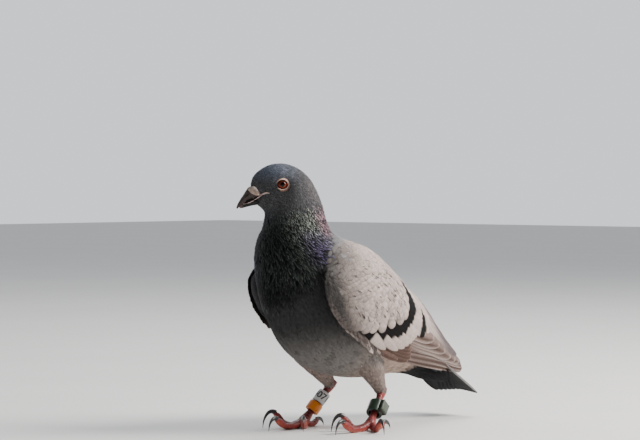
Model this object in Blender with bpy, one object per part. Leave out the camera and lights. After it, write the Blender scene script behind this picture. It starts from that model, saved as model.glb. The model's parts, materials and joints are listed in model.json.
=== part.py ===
"""A racing pigeon standing alert with its head turned to its right: a still, life-size model.

Blender 4.5, metres, +Z up. The bird faces -Y and its left side is +X. Every table below is in
millimetres in the bird's own terms: forward, left and up. The last step sets the middle of the
footprint on the origin, with the toes on Z = 0.
"""

import math

import bmesh
import bpy
import numpy as np
from mathutils import Matrix, Vector

MM = 0.001
GAP = 0.3  # clearance between neighbouring pieces, mm
CUT_GROWTH = 0.42  # how far a cutter grows along its normals, which leaves GAP at its corners, mm

# The head is turned to the bird's right about an upright axis through the neck.
HEAD_TURN = math.radians(-38)
TURN_AXIS_FORWARD = 28
TURN_FROM, TURN_TO = 112, 160

BODY_SEGMENTS = 20
FINE_STATIONS = 11  # the head's stations, which have a ring halfway between them too
# Stations from the bill's base, over the crown, down the neck and along the trunk to the rump.
# dorsal forward, dorsal up, ventral forward, ventral up, half width, widest level, squareness
BODY_STATIONS = (
    (58.6, 173.6, 56.2, 162.4, 3.4, 0.50, 2.0),
    (58.0, 177.6, 54.2, 161.4, 5.0, 0.52, 2.0),
    (56.2, 181.6, 51.9, 159.8, 6.8, 0.52, 2.1),
    (52.0, 185.6, 50.0, 158.0, 9.0, 0.50, 2.1),
    (45.4, 189.1, 48.9, 156.6, 11.5, 0.50, 2.1),
    (37.6, 190.3, 48.4, 155.4, 13.2, 0.50, 2.0),
    (29.6, 188.9, 48.3, 154.0, 13.8, 0.50, 2.0),
    (22.2, 185.0, 48.4, 152.4, 14.6, 0.50, 2.0),
    (16.0, 178.8, 48.7, 150.4, 15.8, 0.50, 2.0),
    (11.6, 171.0, 49.1, 147.6, 17.6, 0.50, 2.0),
    (8.0, 161.8, 50.2, 143.6, 20.0, 0.50, 2.0),
    (4.8, 149.8, 53.0, 137.5, 24.0, 0.50, 2.0),
    (0.2, 141.0, 55.4, 128.5, 27.9, 0.48, 1.92),
    (-9.0, 136.2, 56.2, 116.5, 32.0, 0.44, 1.84),
    (-22.0, 133.0, 55.5, 102.0, 34.8, 0.41, 1.76),
    (-37.0, 127.6, 51.5, 86.5, 36.4, 0.40, 1.74),
    (-53.0, 118.4, 42.0, 71.0, 37.6, 0.42, 1.78),
    (-69.0, 106.6, 27.0, 56.5, 38.6, 0.47, 1.95),
    (-84.0, 94.0, 6.0, 44.6, 36.8, 0.52, 2.1),
    (-97.0, 82.0, -18.0, 37.4, 32.5, 0.54, 2.1),
    (-108.0, 71.0, -44.0, 35.4, 27.0, 0.52, 2.0),
    (-117.0, 61.6, -72.0, 36.6, 22.5, 0.50, 2.0),
    (-124.0, 53.6, -97.0, 34.2, 20.0, 0.50, 2.0),
    (-130.0, 45.0, -117.0, 29.0, 17.5, 0.50, 2.0),
    (-134.0, 37.0, -129.0, 27.0, 12.0, 0.50, 2.0),
)
# The planes that part the head from the neck and the neck from the trunk:
# a point (forward, up) and the direction (forward, up) towards the head.
HEAD_CUT = ((28.0, 160.0), (0.42, 0.91))
NECK_CUT = ((22.0, 127.0), (0.36, 0.93))

EYE_FORWARD, EYE_UP = 37.8, 175.4
EYE_OUT = 9.2
EYE_RADIUS = 4.15
LID_RADIUS, LID_TUBE = 4.7, 0.75
LID_OUT = 11.5
SOCKET_RADII = (5.8, 6.9, 5.8)  # forward, across, up: the hollow in the head round the eye and its lid

WING_SECTION_POINTS = 9
# Stations of the folded left wing from its bend to its tips: lower edge (forward, left, up),
# upper edge (forward, left, up), outward bulge, thickness
WING_STATIONS = (
    ((36.0, 36.8, 105.0), (35.2, 36.0, 110.5), 0.6, 2.6),
    ((34.2, 37.2, 96.5), (30.2, 34.2, 117.0), 2.4, 5.0),
    ((27.2, 37.4, 85.5), (21.0, 30.0, 123.0), 5.6, 7.6),
    ((16.0, 37.6, 75.5), (6.0, 25.5, 128.8), 9.8, 9.0),
    ((1.0, 38.2, 66.5), (-10.0, 21.5, 132.4), 14.0, 9.0),
    ((-16.0, 36.8, 57.5), (-28.0, 16.5, 131.4), 16.6, 9.0),
    ((-35.0, 34.0, 50.4), (-46.0, 13.0, 124.4), 17.6, 8.5),
    ((-54.0, 30.5, 46.0), (-64.0, 10.0, 113.6), 17.0, 7.5),
    ((-75.0, 26.5, 42.4), (-82.0, 8.0, 101.0), 15.0, 6.5),
    ((-97.0, 22.5, 39.3), (-98.0, 6.5, 92.4), 12.0, 5.4),
    ((-117.0, 18.5, 36.9), (-113.0, 5.5, 78.6), 8.5, 4.2),
    ((-134.0, 15.0, 35.2), (-130.0, 5.0, 63.4), 5.5, 3.2),
    ((-146.0, 12.5, 34.0), (-144.5, 5.0, 53.4), 3.0, 2.4),
    ((-152.5, 10.5, 34.2), (-151.5, 6.5, 42.4), 1.0, 1.6),
)
# The flight feathers show below the line between these two points (forward, up).
PRIMARY_LINE = ((-33.0, 51.5), (-112.0, 87.0))

TAIL_ROOT = (-100.0, 56.0)  # forward, up, inside the rump
TAIL_TIP = (-157.5, 15.4)
TAIL_HALF_WIDTHS = (17.0, 24.5)  # at the root and at the tip
TAIL_THICKNESS = (5.0, 2.2)
TAIL_ARCH = 2.6  # how much the middle stands above the edges
TAIL_FEATHERS = 6  # rounded tips that show along the end
TAIL_TIP_ROUND = 3.4

# Legs: hock, pad and the hidden knee, each (forward, left, up)
LEG_POINTS = {
    "left": {"hock": (-42.0, 22.0, 25.6), "pad": (-21.7, 28.9, 5.2), "knee": (-22.0, 20.0, 62.0)},
    "right": {"hock": (-26.7, -13.8, 29.6), "pad": (-6.8, -21.3, 5.2), "knee": (-4.0, -17.0, 62.0)},
}
TOE_HEADINGS = {  # degrees to the bird's left of straight ahead
    "left": {"inner": -26, "middle": 4, "outer": 59, "hind": 176},
    "right": {"inner": 41, "middle": 4, "outer": -35, "hind": 178},
}
TOES = {  # length to the claw, thickness, lift of its end
    "inner": (22.0, 0.92, 1.0),
    "middle": (32.5, 1.0, 1.0),
    "outer": (22.5, 0.9, 1.0),
    "hind": (14.0, 0.88, 0.45),
}
TOES_RAISED = {("right", "outer"): 2.6, ("left", "inner"): 2.4}  # toes whose ends stand higher
TOE_RADIUS = 2.6
TOE_REST_HEIGHT = 1.95  # of the toe's middle where it lies flat, so that its skin is pressed level there
TOE_SIDES = 8
CLAW_SIDES = 6
CLAW_LENGTH = 13.0
CLAW_SWEEP, CLAW_LIFT = math.radians(112), math.radians(24)  # its whole bend, and its upward start
CLAW_RADIUS = 1.5
CLAW_ROOT = 0.6  # how far the claw's own line starts inside the toe's end, where the two are parted
# Shares of the way from the hock, and the radius there. Both start past the hock, where they are mitred.
SHANK_RADII = ((-0.12, 3.3), (0.05, 3.3), (0.28, 2.35), (0.7, 2.35), (0.9, 3.4), (1.02, 4.3), (1.1, 3.4))
THIGH_RADII = ((-0.09, 3.2), (0.04, 3.7), (0.18, 4.9), (0.52, 9.0), (1.0, 14.5))

RING_SEGMENTS = 18
RING_ROUNDING = 0.35
# Leg rings: (leg, share of the shank at the ring's middle, height, outer radius, bore radius)
RINGS = {
    "ring_white": ("right", 0.355, 9.2, 4.75, 3.85),
    "ring_orange": ("right", 0.634, 7.0, 5.2, 3.85),
    "ring_chip": ("left", 0.53, 10.0, 5.9, 4.1),
}
CHIP_BOX = (7.4, 3.4)  # width and depth of the housing on the chip ring's side
CHIP_BOX_SIDE = (0.0, 1.0)  # which way it faces: forward, left

COLOURS = {  # name: (colour, roughness, metallic)
    "plumage_slate": ((0.16, 0.17, 0.19), 0.75, 0.0),
    "plumage_neck": ((0.05, 0.07, 0.07), 0.45, 0.1),
    "plumage_grey": ((0.30, 0.30, 0.32), 0.8, 0.0),
    "wing_grey": ((0.52, 0.49, 0.48), 0.8, 0.0),
    "flight_brown": ((0.24, 0.20, 0.19), 0.7, 0.0),
    "tail_black": ((0.035, 0.037, 0.042), 0.6, 0.0),
    "bill_horn": ((0.07, 0.06, 0.06), 0.45, 0.0),
    "cere_white": ((0.62, 0.55, 0.52), 0.8, 0.0),
    "eye_orange": ((0.55, 0.11, 0.04), 0.1, 0.0),
    "lid_skin": ((0.55, 0.42, 0.38), 0.6, 0.0),
    "leg_red": ((0.45, 0.07, 0.06), 0.5, 0.0),
    "claw_black": ((0.02, 0.02, 0.02), 0.35, 0.0),
    "ring_white": ((0.75, 0.76, 0.76), 0.4, 0.0),
    "ring_orange": ((0.85, 0.33, 0.02), 0.4, 0.0),
    "ring_green": ((0.02, 0.045, 0.03), 0.35, 0.0),
}


# ---------------------------------------------------------------- frame, curves and meshes


def place(forward, left, up):
    """A point of the bird's own frame, in millimetres, as a world point in metres."""
    return Vector((left, -forward, up)) * MM


def smoothstep(low, high, value):
    share = min(max((value - low) / (high - low), 0.0), 1.0)
    return share * share * (3 - 2 * share)


def turn_head(point):
    """Turns a world point about the neck's axis, by more the higher it lies up to the head."""
    angle = HEAD_TURN * smoothstep(TURN_FROM, TURN_TO, point.z / MM)
    axis = place(TURN_AXIS_FORWARD, 0, 0)
    return Matrix.Rotation(angle, 3, "Z") @ (point - axis) + axis


def between(rows, per_span):
    """Rows of numbers joined by a Catmull-Rom curve, with per_span steps from each to the next."""
    rows = np.array(rows, float)
    padded = np.vstack([2 * rows[0] - rows[1], rows, 2 * rows[-1] - rows[-2]])
    made = []
    for i in range(len(rows) - 1):
        a, b, c, d = padded[i : i + 4]
        for step in range(per_span):
            t = step / per_span
            square, cube = 2 * a - 5 * b + 4 * c - d, 3 * b - a - 3 * c + d
            made.append(0.5 * (2 * b + (c - a) * t + square * t**2 + cube * t**3))
    made.append(rows[-1])
    return made


def paint(obj, colour):
    material = bpy.data.materials.get(colour)
    if material is None:
        rgb, roughness, metallic = COLOURS[colour]
        material = bpy.data.materials.new(colour)
        material.use_nodes = True
        shader = material.node_tree.nodes["Principled BSDF"]
        shader.inputs["Base Color"].default_value = (*rgb, 1)
        shader.inputs["Roughness"].default_value = roughness
        shader.inputs["Metallic"].default_value = metallic
        material.diffuse_color = (*rgb, 1)
    obj.data.materials.clear()
    obj.data.materials.append(material)


def finish(bm, name, colour, smooth=True):
    """Makes the bmesh an object of its own, with its normals outwards."""
    bmesh.ops.recalc_face_normals(bm, faces=bm.faces)
    mesh = bpy.data.meshes.new(name)
    bm.to_mesh(mesh)
    bm.free()
    if smooth:
        mesh.shade_smooth()
        mesh.set_sharp_from_angle(angle=math.radians(50))
    obj = bpy.data.objects.new(name, mesh)
    bpy.context.scene.collection.objects.link(obj)
    paint(obj, colour)
    return obj


def extrude_along(rings):
    """A closed bmesh: a capped circle laid on the first ring and extruded to each next one."""
    bm = bmesh.new()
    made = bmesh.ops.create_circle(bm, cap_ends=True, segments=len(rings[0]), radius=MM)
    verts = made["verts"]
    for vert, co in zip(verts, rings[0]):
        vert.co = co
    bm.faces.ensure_lookup_table()
    first = cap = bm.faces[0]
    for ring in rings[1:]:
        geometry = bmesh.ops.extrude_face_region(bm, geom=[cap])["geom"]
        if cap is not first:
            bmesh.ops.delete(bm, geom=[cap], context="FACES_ONLY")
        new = {g for g in geometry if isinstance(g, bmesh.types.BMVert)}
        cap = next(g for g in geometry if isinstance(g, bmesh.types.BMFace))
        verts = [next(e.other_vert(v) for e in v.link_edges if e.other_vert(v) in new) for v in verts]
        for vert, co in zip(verts, ring):
            vert.co = co
    return bm


def turn_round(bm, steps):
    """Spins the outline in the bmesh a whole turn about the Z axis."""
    outline = bm.verts[:] + bm.edges[:]
    axis = {"cent": (0, 0, 0), "axis": (0, 0, 1), "angle": 2 * math.pi}
    bmesh.ops.spin(bm, geom=outline, steps=steps, use_merge=True, **axis)


def cap_domes(bm):
    """Pokes the two end caps, so that each is a fan of triangles round its middle."""
    ends = [f for f in bm.faces if len(f.verts) > 4]
    bmesh.ops.poke(bm, faces=ends)


def keep_side(obj, point, direction, gap=GAP):
    """Cuts off what lies behind a plane and closes the cut. Half the gap is taken off this side."""
    direction = direction.normalized()
    bm = bmesh.new()
    bm.from_mesh(obj.data)
    cut = bmesh.ops.bisect_plane(
        bm,
        geom=bm.verts[:] + bm.edges[:] + bm.faces[:],
        plane_co=point + direction * gap / 2 * MM,
        plane_no=direction,
        clear_inner=True,
    )
    rim = [g for g in cut["geom_cut"] if isinstance(g, bmesh.types.BMEdge)]
    bmesh.ops.holes_fill(bm, edges=rim, sides=0)
    bmesh.ops.recalc_face_normals(bm, faces=bm.faces)
    bm.to_mesh(obj.data)
    bm.free()


def copy_of(obj, name):
    made = obj.copy()
    made.data = obj.data.copy()
    made.name = name
    bpy.context.scene.collection.objects.link(made)
    return made


def as_helper(obj):
    obj.hide_render = True
    obj.display_type = "WIRE"
    return obj


def carve(obj, cutter_source):
    """Cuts obj back from another piece, which is left whole, with a clearance between them."""
    cutter = as_helper(copy_of(cutter_source, "cutter_" + obj.name + "_" + cutter_source.name))
    cutter.modifiers.clear()
    growth = cutter.modifiers.new("growth", "DISPLACE")
    growth.mid_level = 0
    growth.strength = CUT_GROWTH * MM
    cut = obj.modifiers.new("clear of " + cutter_source.name, "BOOLEAN")
    cut.operation = "DIFFERENCE"
    cut.solver = "EXACT"
    cut.object = cutter


def tube(points, radii, sides, flatten=1.0):
    """Rings round a line of world points, with a flat side down. flatten stretches them upright."""
    rings = []
    side = None
    for i, point in enumerate(points):
        ahead = points[min(i + 1, len(points) - 1)] - points[max(i - 1, 0)]
        ahead.normalize()
        if side is None:
            side = ahead.cross(Vector((0, 0, 1)))
            if side.length < 0.2:
                side = Vector((1, 0, 0))
        side = (side - ahead * side.dot(ahead)).normalized()
        top = side.cross(ahead)
        r = radii[i] * MM
        rings.append(
            [
                point + side * r * math.cos(a) + top * r * flatten * math.sin(a)
                for a in (2 * math.pi * (k + 0.5) / sides for k in range(sides))
            ]
        )
    return rings


# ---------------------------------------------------------------- body: head, neck and trunk


def body_ring(station):
    """One closed section from its dorsal and ventral points, half width, widest level and squareness."""
    dorsal_f, dorsal_u, ventral_f, ventral_u, half_width, level, squareness = station
    dorsal, ventral = place(dorsal_f, 0, dorsal_u), place(ventral_f, 0, ventral_u)
    middle = dorsal.lerp(ventral, level)
    ring = []
    for k in range(BODY_SEGMENTS):
        angle = 2 * math.pi * k / BODY_SEGMENTS
        across, along = math.sin(angle), math.cos(angle)
        across = math.copysign(abs(across) ** (2 / squareness), across)
        reach = (dorsal if along > 0 else ventral) - middle
        along = abs(along) ** (2 / squareness)
        ring.append(middle + reach * along + Vector((half_width * MM * across, 0, 0)))
    return ring


def make_body():
    stations = between(BODY_STATIONS, 2)
    kept = [station for i, station in enumerate(stations) if i % 2 == 0 or i < 2 * FINE_STATIONS]
    bm = extrude_along([[turn_head(point) for point in body_ring(station)] for station in kept])
    cap_domes(bm)
    bmesh.ops.triangulate(bm, faces=bm.faces)
    whole = finish(bm, "trunk", "plumage_grey")
    head, neck = copy_of(whole, "head"), copy_of(whole, "neck")
    head_at, head_up = cut_plane(HEAD_CUT)
    neck_at, neck_up = cut_plane(NECK_CUT)
    keep_side(head, head_at, head_up)
    keep_side(neck, head_at, -head_up)
    keep_side(neck, neck_at, neck_up)
    keep_side(whole, neck_at, -neck_up)
    paint(head, "plumage_slate")
    paint(neck, "plumage_neck")
    return head, neck, whole


def cut_plane(cut):
    """The cut's point and direction in the world, after the head's turn."""
    (forward, up), (towards_forward, towards_up) = cut
    at = place(forward, 0, up)
    ahead = place(forward + towards_forward, 0, up + towards_up)
    turned = turn_head(at)
    return turned, turn_head(ahead) - turned


# ---------------------------------------------------------------- bill, eyes

BILL_SIDES = 10
# Stations of the bill's two halves: ridge (forward, up), inner side (forward, up), half width
UPPER_BILL = (
    ((53.0, 173.2), (51.4, 165.0), 3.6),
    ((58.2, 174.0), (55.0, 164.2), 4.2),
    ((61.0, 171.8), (57.6, 163.4), 3.7),
    ((63.6, 168.4), (60.2, 162.2), 3.0),
    ((65.8, 165.2), (62.8, 160.8), 2.4),
    ((67.8, 161.9), (65.4, 159.3), 1.7),
    ((68.9, 158.6), (67.7, 157.9), 0.7),
)
LOWER_BILL = (
    ((52.2, 168.6), (51.6, 162.4), 3.3),
    ((55.8, 167.2), (55.0, 161.2), 3.4),
    ((58.7, 165.8), (57.6, 160.6), 3.0),
    ((61.3, 164.4), (60.2, 160.0), 2.4),
    ((63.8, 162.9), (62.8, 159.3), 1.8),
    ((65.6, 161.4), (65.0, 158.8), 0.9),
)
GAPE_CUT = ((60.4, 164.2), (0.52, 0.855))  # the plane that parts the bill: a point and the way up
CERE_MIDDLE = (56.0, 4.2, 170.5)  # forward, left, up of the left swelling
CERE_RADII = (5.2, 2.6, 2.9)
CERE_SLOPE = math.radians(25)  # down towards the back


def make_bill(name, stations):
    rings = []
    flat = [(*ridge, *edge, width) for ridge, edge, width in stations]
    for ridge_f, ridge_u, edge_f, edge_u, half_width in between(flat, 2):
        ridge, edge = place(ridge_f, 0, ridge_u), place(edge_f, 0, edge_u)
        middle, reach = (ridge + edge) / 2, (ridge - edge) / 2
        rings.append(
            [
                turn_head(middle + reach * math.cos(a) + Vector((half_width * MM * math.sin(a), 0, 0)))
                for a in (2 * math.pi * k / BILL_SIDES for k in range(BILL_SIDES))
            ]
        )
    return finish(extrude_along(rings), name, "bill_horn")


def ball(name, middle, radii, colour, rotation=0.0):
    """An egg on the turned head, its poles across the bird. radii and middle run forward, left and up."""
    bm = bmesh.new()
    bmesh.ops.create_uvsphere(bm, u_segments=12, v_segments=7, radius=MM)
    bmesh.ops.rotate(bm, verts=bm.verts, matrix=Matrix.Rotation(math.pi / 2, 3, "Y"))
    bmesh.ops.scale(bm, verts=bm.verts, vec=(radii[1], radii[0], radii[2]))
    bmesh.ops.rotate(bm, verts=bm.verts, matrix=Matrix.Rotation(rotation, 3, "X"))
    bmesh.ops.translate(bm, verts=bm.verts, vec=place(*middle))
    for vert in bm.verts:
        vert.co = turn_head(vert.co)
    return finish(bm, name, colour)


def make_lid(name, side):
    """The ring of bare skin round the eye: a torus that lies on the side of the head."""
    bm = bmesh.new()
    bmesh.ops.create_circle(bm, segments=5, radius=LID_TUBE * MM)
    bmesh.ops.rotate(bm, verts=bm.verts, matrix=Matrix.Rotation(math.pi / 2, 3, "X"))
    bmesh.ops.translate(bm, verts=bm.verts, vec=(LID_RADIUS * MM, 0, 0))
    turn_round(bm, 16)
    bmesh.ops.rotate(bm, verts=bm.verts, matrix=Matrix.Rotation(math.pi / 2, 3, "Y"))
    bmesh.ops.translate(bm, verts=bm.verts, vec=place(EYE_FORWARD, side * LID_OUT, EYE_UP))
    for vert in bm.verts:
        vert.co = turn_head(vert.co)
    return finish(bm, name, "lid_skin")


# ---------------------------------------------------------------- wings and tail


def wing_ring(station):
    """One section of the folded left wing: an outer arc from lower to upper edge, and back inside."""
    lower, upper = place(*station[0]), place(*station[1])
    bulge, thickness = station[2] * MM, station[3] * MM
    chord = upper - lower
    outward = Vector((0, -1, 0)).cross(chord).normalized()
    if outward.x < 0:
        outward = -outward
    outer, inner = [], []
    for k in range(WING_SECTION_POINTS):
        share = k / (WING_SECTION_POINTS - 1)
        lift = math.sin(math.pi * share) ** 0.8
        depth = thickness * (0.16 + 0.84 * math.sin(math.pi * share) ** 0.5)
        outer.append(lower + chord * share + outward * bulge * lift)
        inner.append(lower + chord * share + outward * (bulge * lift - depth))
    return outer + inner[::-1]


def make_wing():
    bm = extrude_along([wing_ring(station) for station in WING_STATIONS])
    bmesh.ops.triangulate(bm, faces=bm.faces)
    wing = finish(bm, "wing_left", "wing_grey")
    primaries = copy_of(wing, "primaries_left")
    paint(primaries, "flight_brown")
    (f0, u0), (f1, u1) = PRIMARY_LINE
    along = place(f1, 0, u1) - place(f0, 0, u0)
    above = along.cross(Vector((1, 0, 0)))
    if above.z < 0:
        above = -above
    keep_side(wing, place(f0, 0, u0), above)
    keep_side(primaries, place(f0, 0, u0), -above)
    return wing, primaries


def mirrored(obj, name):
    """A copy of the piece on the bird's other side."""
    made = copy_of(obj, name)
    bm = bmesh.new()
    bm.from_mesh(made.data)
    bmesh.ops.scale(bm, verts=bm.verts, vec=(-1, 1, 1))
    bmesh.ops.recalc_face_normals(bm, faces=bm.faces)
    bm.to_mesh(made.data)
    bm.free()
    return made


def tail_end(share):
    """How far the tail's end lies short of its full length, for a place across it from -1 to 1."""
    feather = abs(math.sin(share * TAIL_FEATHERS * math.pi / 2))
    return TAIL_TIP_ROUND * (0.55 * (1 - feather) + 0.9 * abs(share) ** 3)


def make_tail():
    """A slightly arched fan of stiff feathers, as a grid that is given its thickness by sections."""
    across, steps = 2 * TAIL_FEATHERS, 4
    root, tip = place(TAIL_ROOT[0], 0, TAIL_ROOT[1]), place(TAIL_TIP[0], 0, TAIL_TIP[1])
    length = (tip - root).length
    ahead = (tip - root).normalized()
    above = Vector((1, 0, 0)).cross(ahead)
    if above.z < 0:
        above = -above
    rings = []
    for step in range(steps + 1):
        share = step / steps
        half = TAIL_HALF_WIDTHS[0] + (TAIL_HALF_WIDTHS[1] - TAIL_HALF_WIDTHS[0]) * share**0.8
        thickness = TAIL_THICKNESS[0] + (TAIL_THICKNESS[1] - TAIL_THICKNESS[0]) * share
        upper, lower = [], []
        for k in range(across + 1):
            place_across = 2 * k / across - 1
            reach = length - tail_end(place_across) * MM if step == steps else length * share
            arch = TAIL_ARCH * (1 - place_across**2)
            at = root + ahead * reach + Vector((half * place_across * MM, 0, 0))
            edge = 0.35 + 0.65 * math.sqrt(max(0.0, 1 - abs(place_across) ** 6))
            upper.append(at + above * (arch + thickness * edge / 2) * MM)
            lower.append(at + above * (arch - thickness * edge / 2) * MM)
        rings.append(upper + lower[::-1])
    bm = extrude_along(rings)
    bmesh.ops.triangulate(bm, faces=bm.faces)
    return finish(bm, "tail", "tail_black")


# ---------------------------------------------------------------- legs, feet and leg rings


def leg_joints(side):
    points = LEG_POINTS[side]
    return place(*points["hock"]), place(*points["pad"]), place(*points["knee"])


def limb(name, start, end, shares_and_radii, sides, colour, flatten=1.0):
    """A tapered limb from start to end, which may begin a little before the start."""
    rows = between(shares_and_radii, 2)
    line = [start.lerp(end, share) for share, _ in rows]
    bm = extrude_along(tube(line, [radius for _, radius in rows], sides, flatten))
    cap_domes(bm)
    return finish(bm, name, colour)


def make_leg(side):
    """The feathered thigh and the bare shank, mitred at the hock, with the shank's foot pad."""
    hock, pad, knee = leg_joints(side)
    thigh = limb("thigh_" + side, hock, knee, THIGH_RADII, 14, "plumage_grey", 1.12)
    shank = limb("shank_" + side, hock, pad, SHANK_RADII, 10, "leg_red")
    mitre = (knee - hock).normalized() - (pad - hock).normalized()
    keep_side(thigh, hock, mitre)
    keep_side(shank, hock, -mitre)
    return thigh, shank


def toe_line(side, toe):
    """The toe in its upright plane, as (distance, height, radius): flat pads, then a raised end."""
    length, _, lift = TOES[toe]
    raised = TOES_RAISED.get((side, toe), 0.0)
    return (
        (1.0, 5.2, 1.15),
        (0.26 * length, 2.7, 1.05),
        (0.50 * length, TOE_REST_HEIGHT, 0.98),
        (0.70 * length, TOE_REST_HEIGHT + 0.9 * lift + 0.5 * raised, 0.92),
        (0.88 * length, TOE_REST_HEIGHT + 4.2 * lift + raised, 0.92),
        (1.0 * length, TOE_REST_HEIGHT + 6.4 * lift + raised, 0.66),
    )


def toe_direction(side, toe):
    """The toe's heading, in radians to the bird's left of straight ahead."""
    return math.radians(TOE_HEADINGS[side][toe])


def make_toe(side, toe):
    """One toe, bent in an upright plane through the pad and flat where it meets the ground."""
    length, thickness, _ = TOES[toe]
    heading = toe_direction(side, toe)
    rows = between(toe_line(side, toe), 2)
    line = [at_toe(side, heading, distance, height) for distance, height, _ in rows]
    radii = [TOE_RADIUS * thickness * radius for _, _, radius in rows]
    bm = extrude_along(tube(line, radii, TOE_SIDES))
    cap_domes(bm)
    for vert in bm.verts:
        vert.co.z = max(vert.co.z, 0.0)
    made = finish(bm, "toe_" + toe + "_" + side, "leg_red")
    pad = at_toe(side, heading, 0, 0)
    for other in TOES:
        apart = heading - toe_direction(side, other)
        apart = math.atan2(math.sin(apart), math.cos(apart))
        if other != toe and abs(apart) < math.radians(160):
            between_them = heading - apart / 2
            away = math.copysign(1.0, apart)
            direction = place(-math.sin(between_them) * away, math.cos(between_them) * away, 0)
            keep_side(made, pad, direction)
    keep_side(made, at_toe(side, heading, length - CLAW_ROOT, 0), -toe_ahead(heading))
    return made


def toe_ahead(heading):
    return place(math.cos(heading), math.sin(heading), 0).normalized()


def at_toe(side, heading, distance, height):
    """A world point over the line of a toe, from its distance to the pad's middle and its height."""
    forward, left, _ = LEG_POINTS[side]["pad"]
    return place(forward + distance * math.cos(heading), left + distance * math.sin(heading), height)


def make_claw(side, toe):
    """The claw: it points a little upwards where it leaves the toe, then curls down to the ground."""
    length, _, lift = TOES[toe]
    heading = toe_direction(side, toe)
    root_height = toe_line(side, toe)[-1][1]
    bend_radius = CLAW_LENGTH * (0.55 + 0.45 * lift) / CLAW_SWEEP
    steps = 6
    rows = []
    for step in range(steps + 1):
        turn = CLAW_SWEEP * step / steps - CLAW_LIFT
        forward = bend_radius * (math.sin(turn) + math.sin(CLAW_LIFT))
        drop = bend_radius * (math.cos(CLAW_LIFT) - math.cos(turn))
        rows.append((forward, drop, CLAW_RADIUS * (1 - 0.8 * (step / steps) ** 1.3)))
    reach_down = root_height / rows[-1][1]  # so that the tip just meets the ground
    line = [
        at_toe(side, heading, length - 2 * CLAW_ROOT + forward, root_height - drop * reach_down)
        for forward, drop, _ in rows
    ]
    bm = extrude_along(tube(line, [radius for _, _, radius in rows], CLAW_SIDES, 1.25))
    for vert in bm.verts:
        vert.co.z = max(vert.co.z, 0.0)
    made = finish(bm, "claw_" + toe + "_" + side, "claw_black")
    keep_side(made, at_toe(side, heading, length - CLAW_ROOT, 0), toe_ahead(heading))
    return made


def make_ring(name):
    """A leg ring: a turned tube with rounded rims, loose on the shank."""
    leg, share, height, outer, bore = RINGS[name]
    hock, pad, _ = leg_joints(leg)
    axis = (hock - pad).normalized()
    middle = hock.lerp(pad, share)
    half = height / 2
    profile = (
        (outer, -half + RING_ROUNDING),
        (outer, half - RING_ROUNDING),
        (outer - RING_ROUNDING, half),
        (bore, half),
        (bore, -half),
        (outer - RING_ROUNDING, -half),
    )
    bm = bmesh.new()
    verts = [bm.verts.new((r * MM, 0, h * MM)) for r, h in profile]
    for i in range(len(verts)):
        bm.edges.new((verts[i - 1], verts[i]))
    turn_round(bm, RING_SEGMENTS)
    turn = axis.to_track_quat("Z", "Y").to_matrix()
    bmesh.ops.rotate(bm, verts=bm.verts, matrix=turn)
    bmesh.ops.translate(bm, verts=bm.verts, vec=middle)
    colour = {"ring_chip": "ring_green"}.get(name, name)
    return finish(bm, name, colour)


def make_chip_box():
    """The chip ring's flat housing, which joins the ring's tube on its outer side."""
    leg, share, height, outer, bore = RINGS["ring_chip"]
    hock, pad, _ = leg_joints(leg)
    axis = (hock - pad).normalized()
    width, stand = CHIP_BOX
    bm = bmesh.new()
    bmesh.ops.create_cube(bm, size=1)
    bmesh.ops.scale(bm, verts=bm.verts, vec=(width * MM, stand * MM, (height - 0.8) * MM))
    bmesh.ops.bevel(
        bm, geom=bm.edges[:], offset=0.5 * MM, affect="EDGES", segments=1, profile=0.5, material=-1
    )
    outward = place(*CHIP_BOX_SIDE, 0.0)
    outward = (outward - axis * outward.dot(axis)).normalized()
    across = outward.cross(axis)
    turn = Matrix((across, outward, axis)).transposed()
    bmesh.ops.rotate(bm, verts=bm.verts, matrix=turn)
    reach = (outer + stand / 2 - 1.1) * MM
    bmesh.ops.translate(bm, verts=bm.verts, vec=hock.lerp(pad, share) + outward * reach)
    return as_helper(finish(bm, "chip_box", "ring_green", smooth=False))


# ---------------------------------------------------------------- the whole bird


def stand_on_origin(objects):
    """Moves every mesh so that the middle of the footprint is the origin and the toes stand on Z = 0."""
    bpy.context.view_layer.update()
    graph = bpy.context.evaluated_depsgraph_get()
    shown = [o for o in objects if not o.hide_render]
    corners = [Vector(c) for o in shown for c in o.evaluated_get(graph).bound_box]
    low = Vector(min(c[i] for c in corners) for i in range(3))
    high = Vector(max(c[i] for c in corners) for i in range(3))
    shift = Vector((-(low.x + high.x) / 2, -(low.y + high.y) / 2, -low.z))
    for mesh in {o.data for o in objects}:
        mesh.transform(Matrix.Translation(shift))


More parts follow.
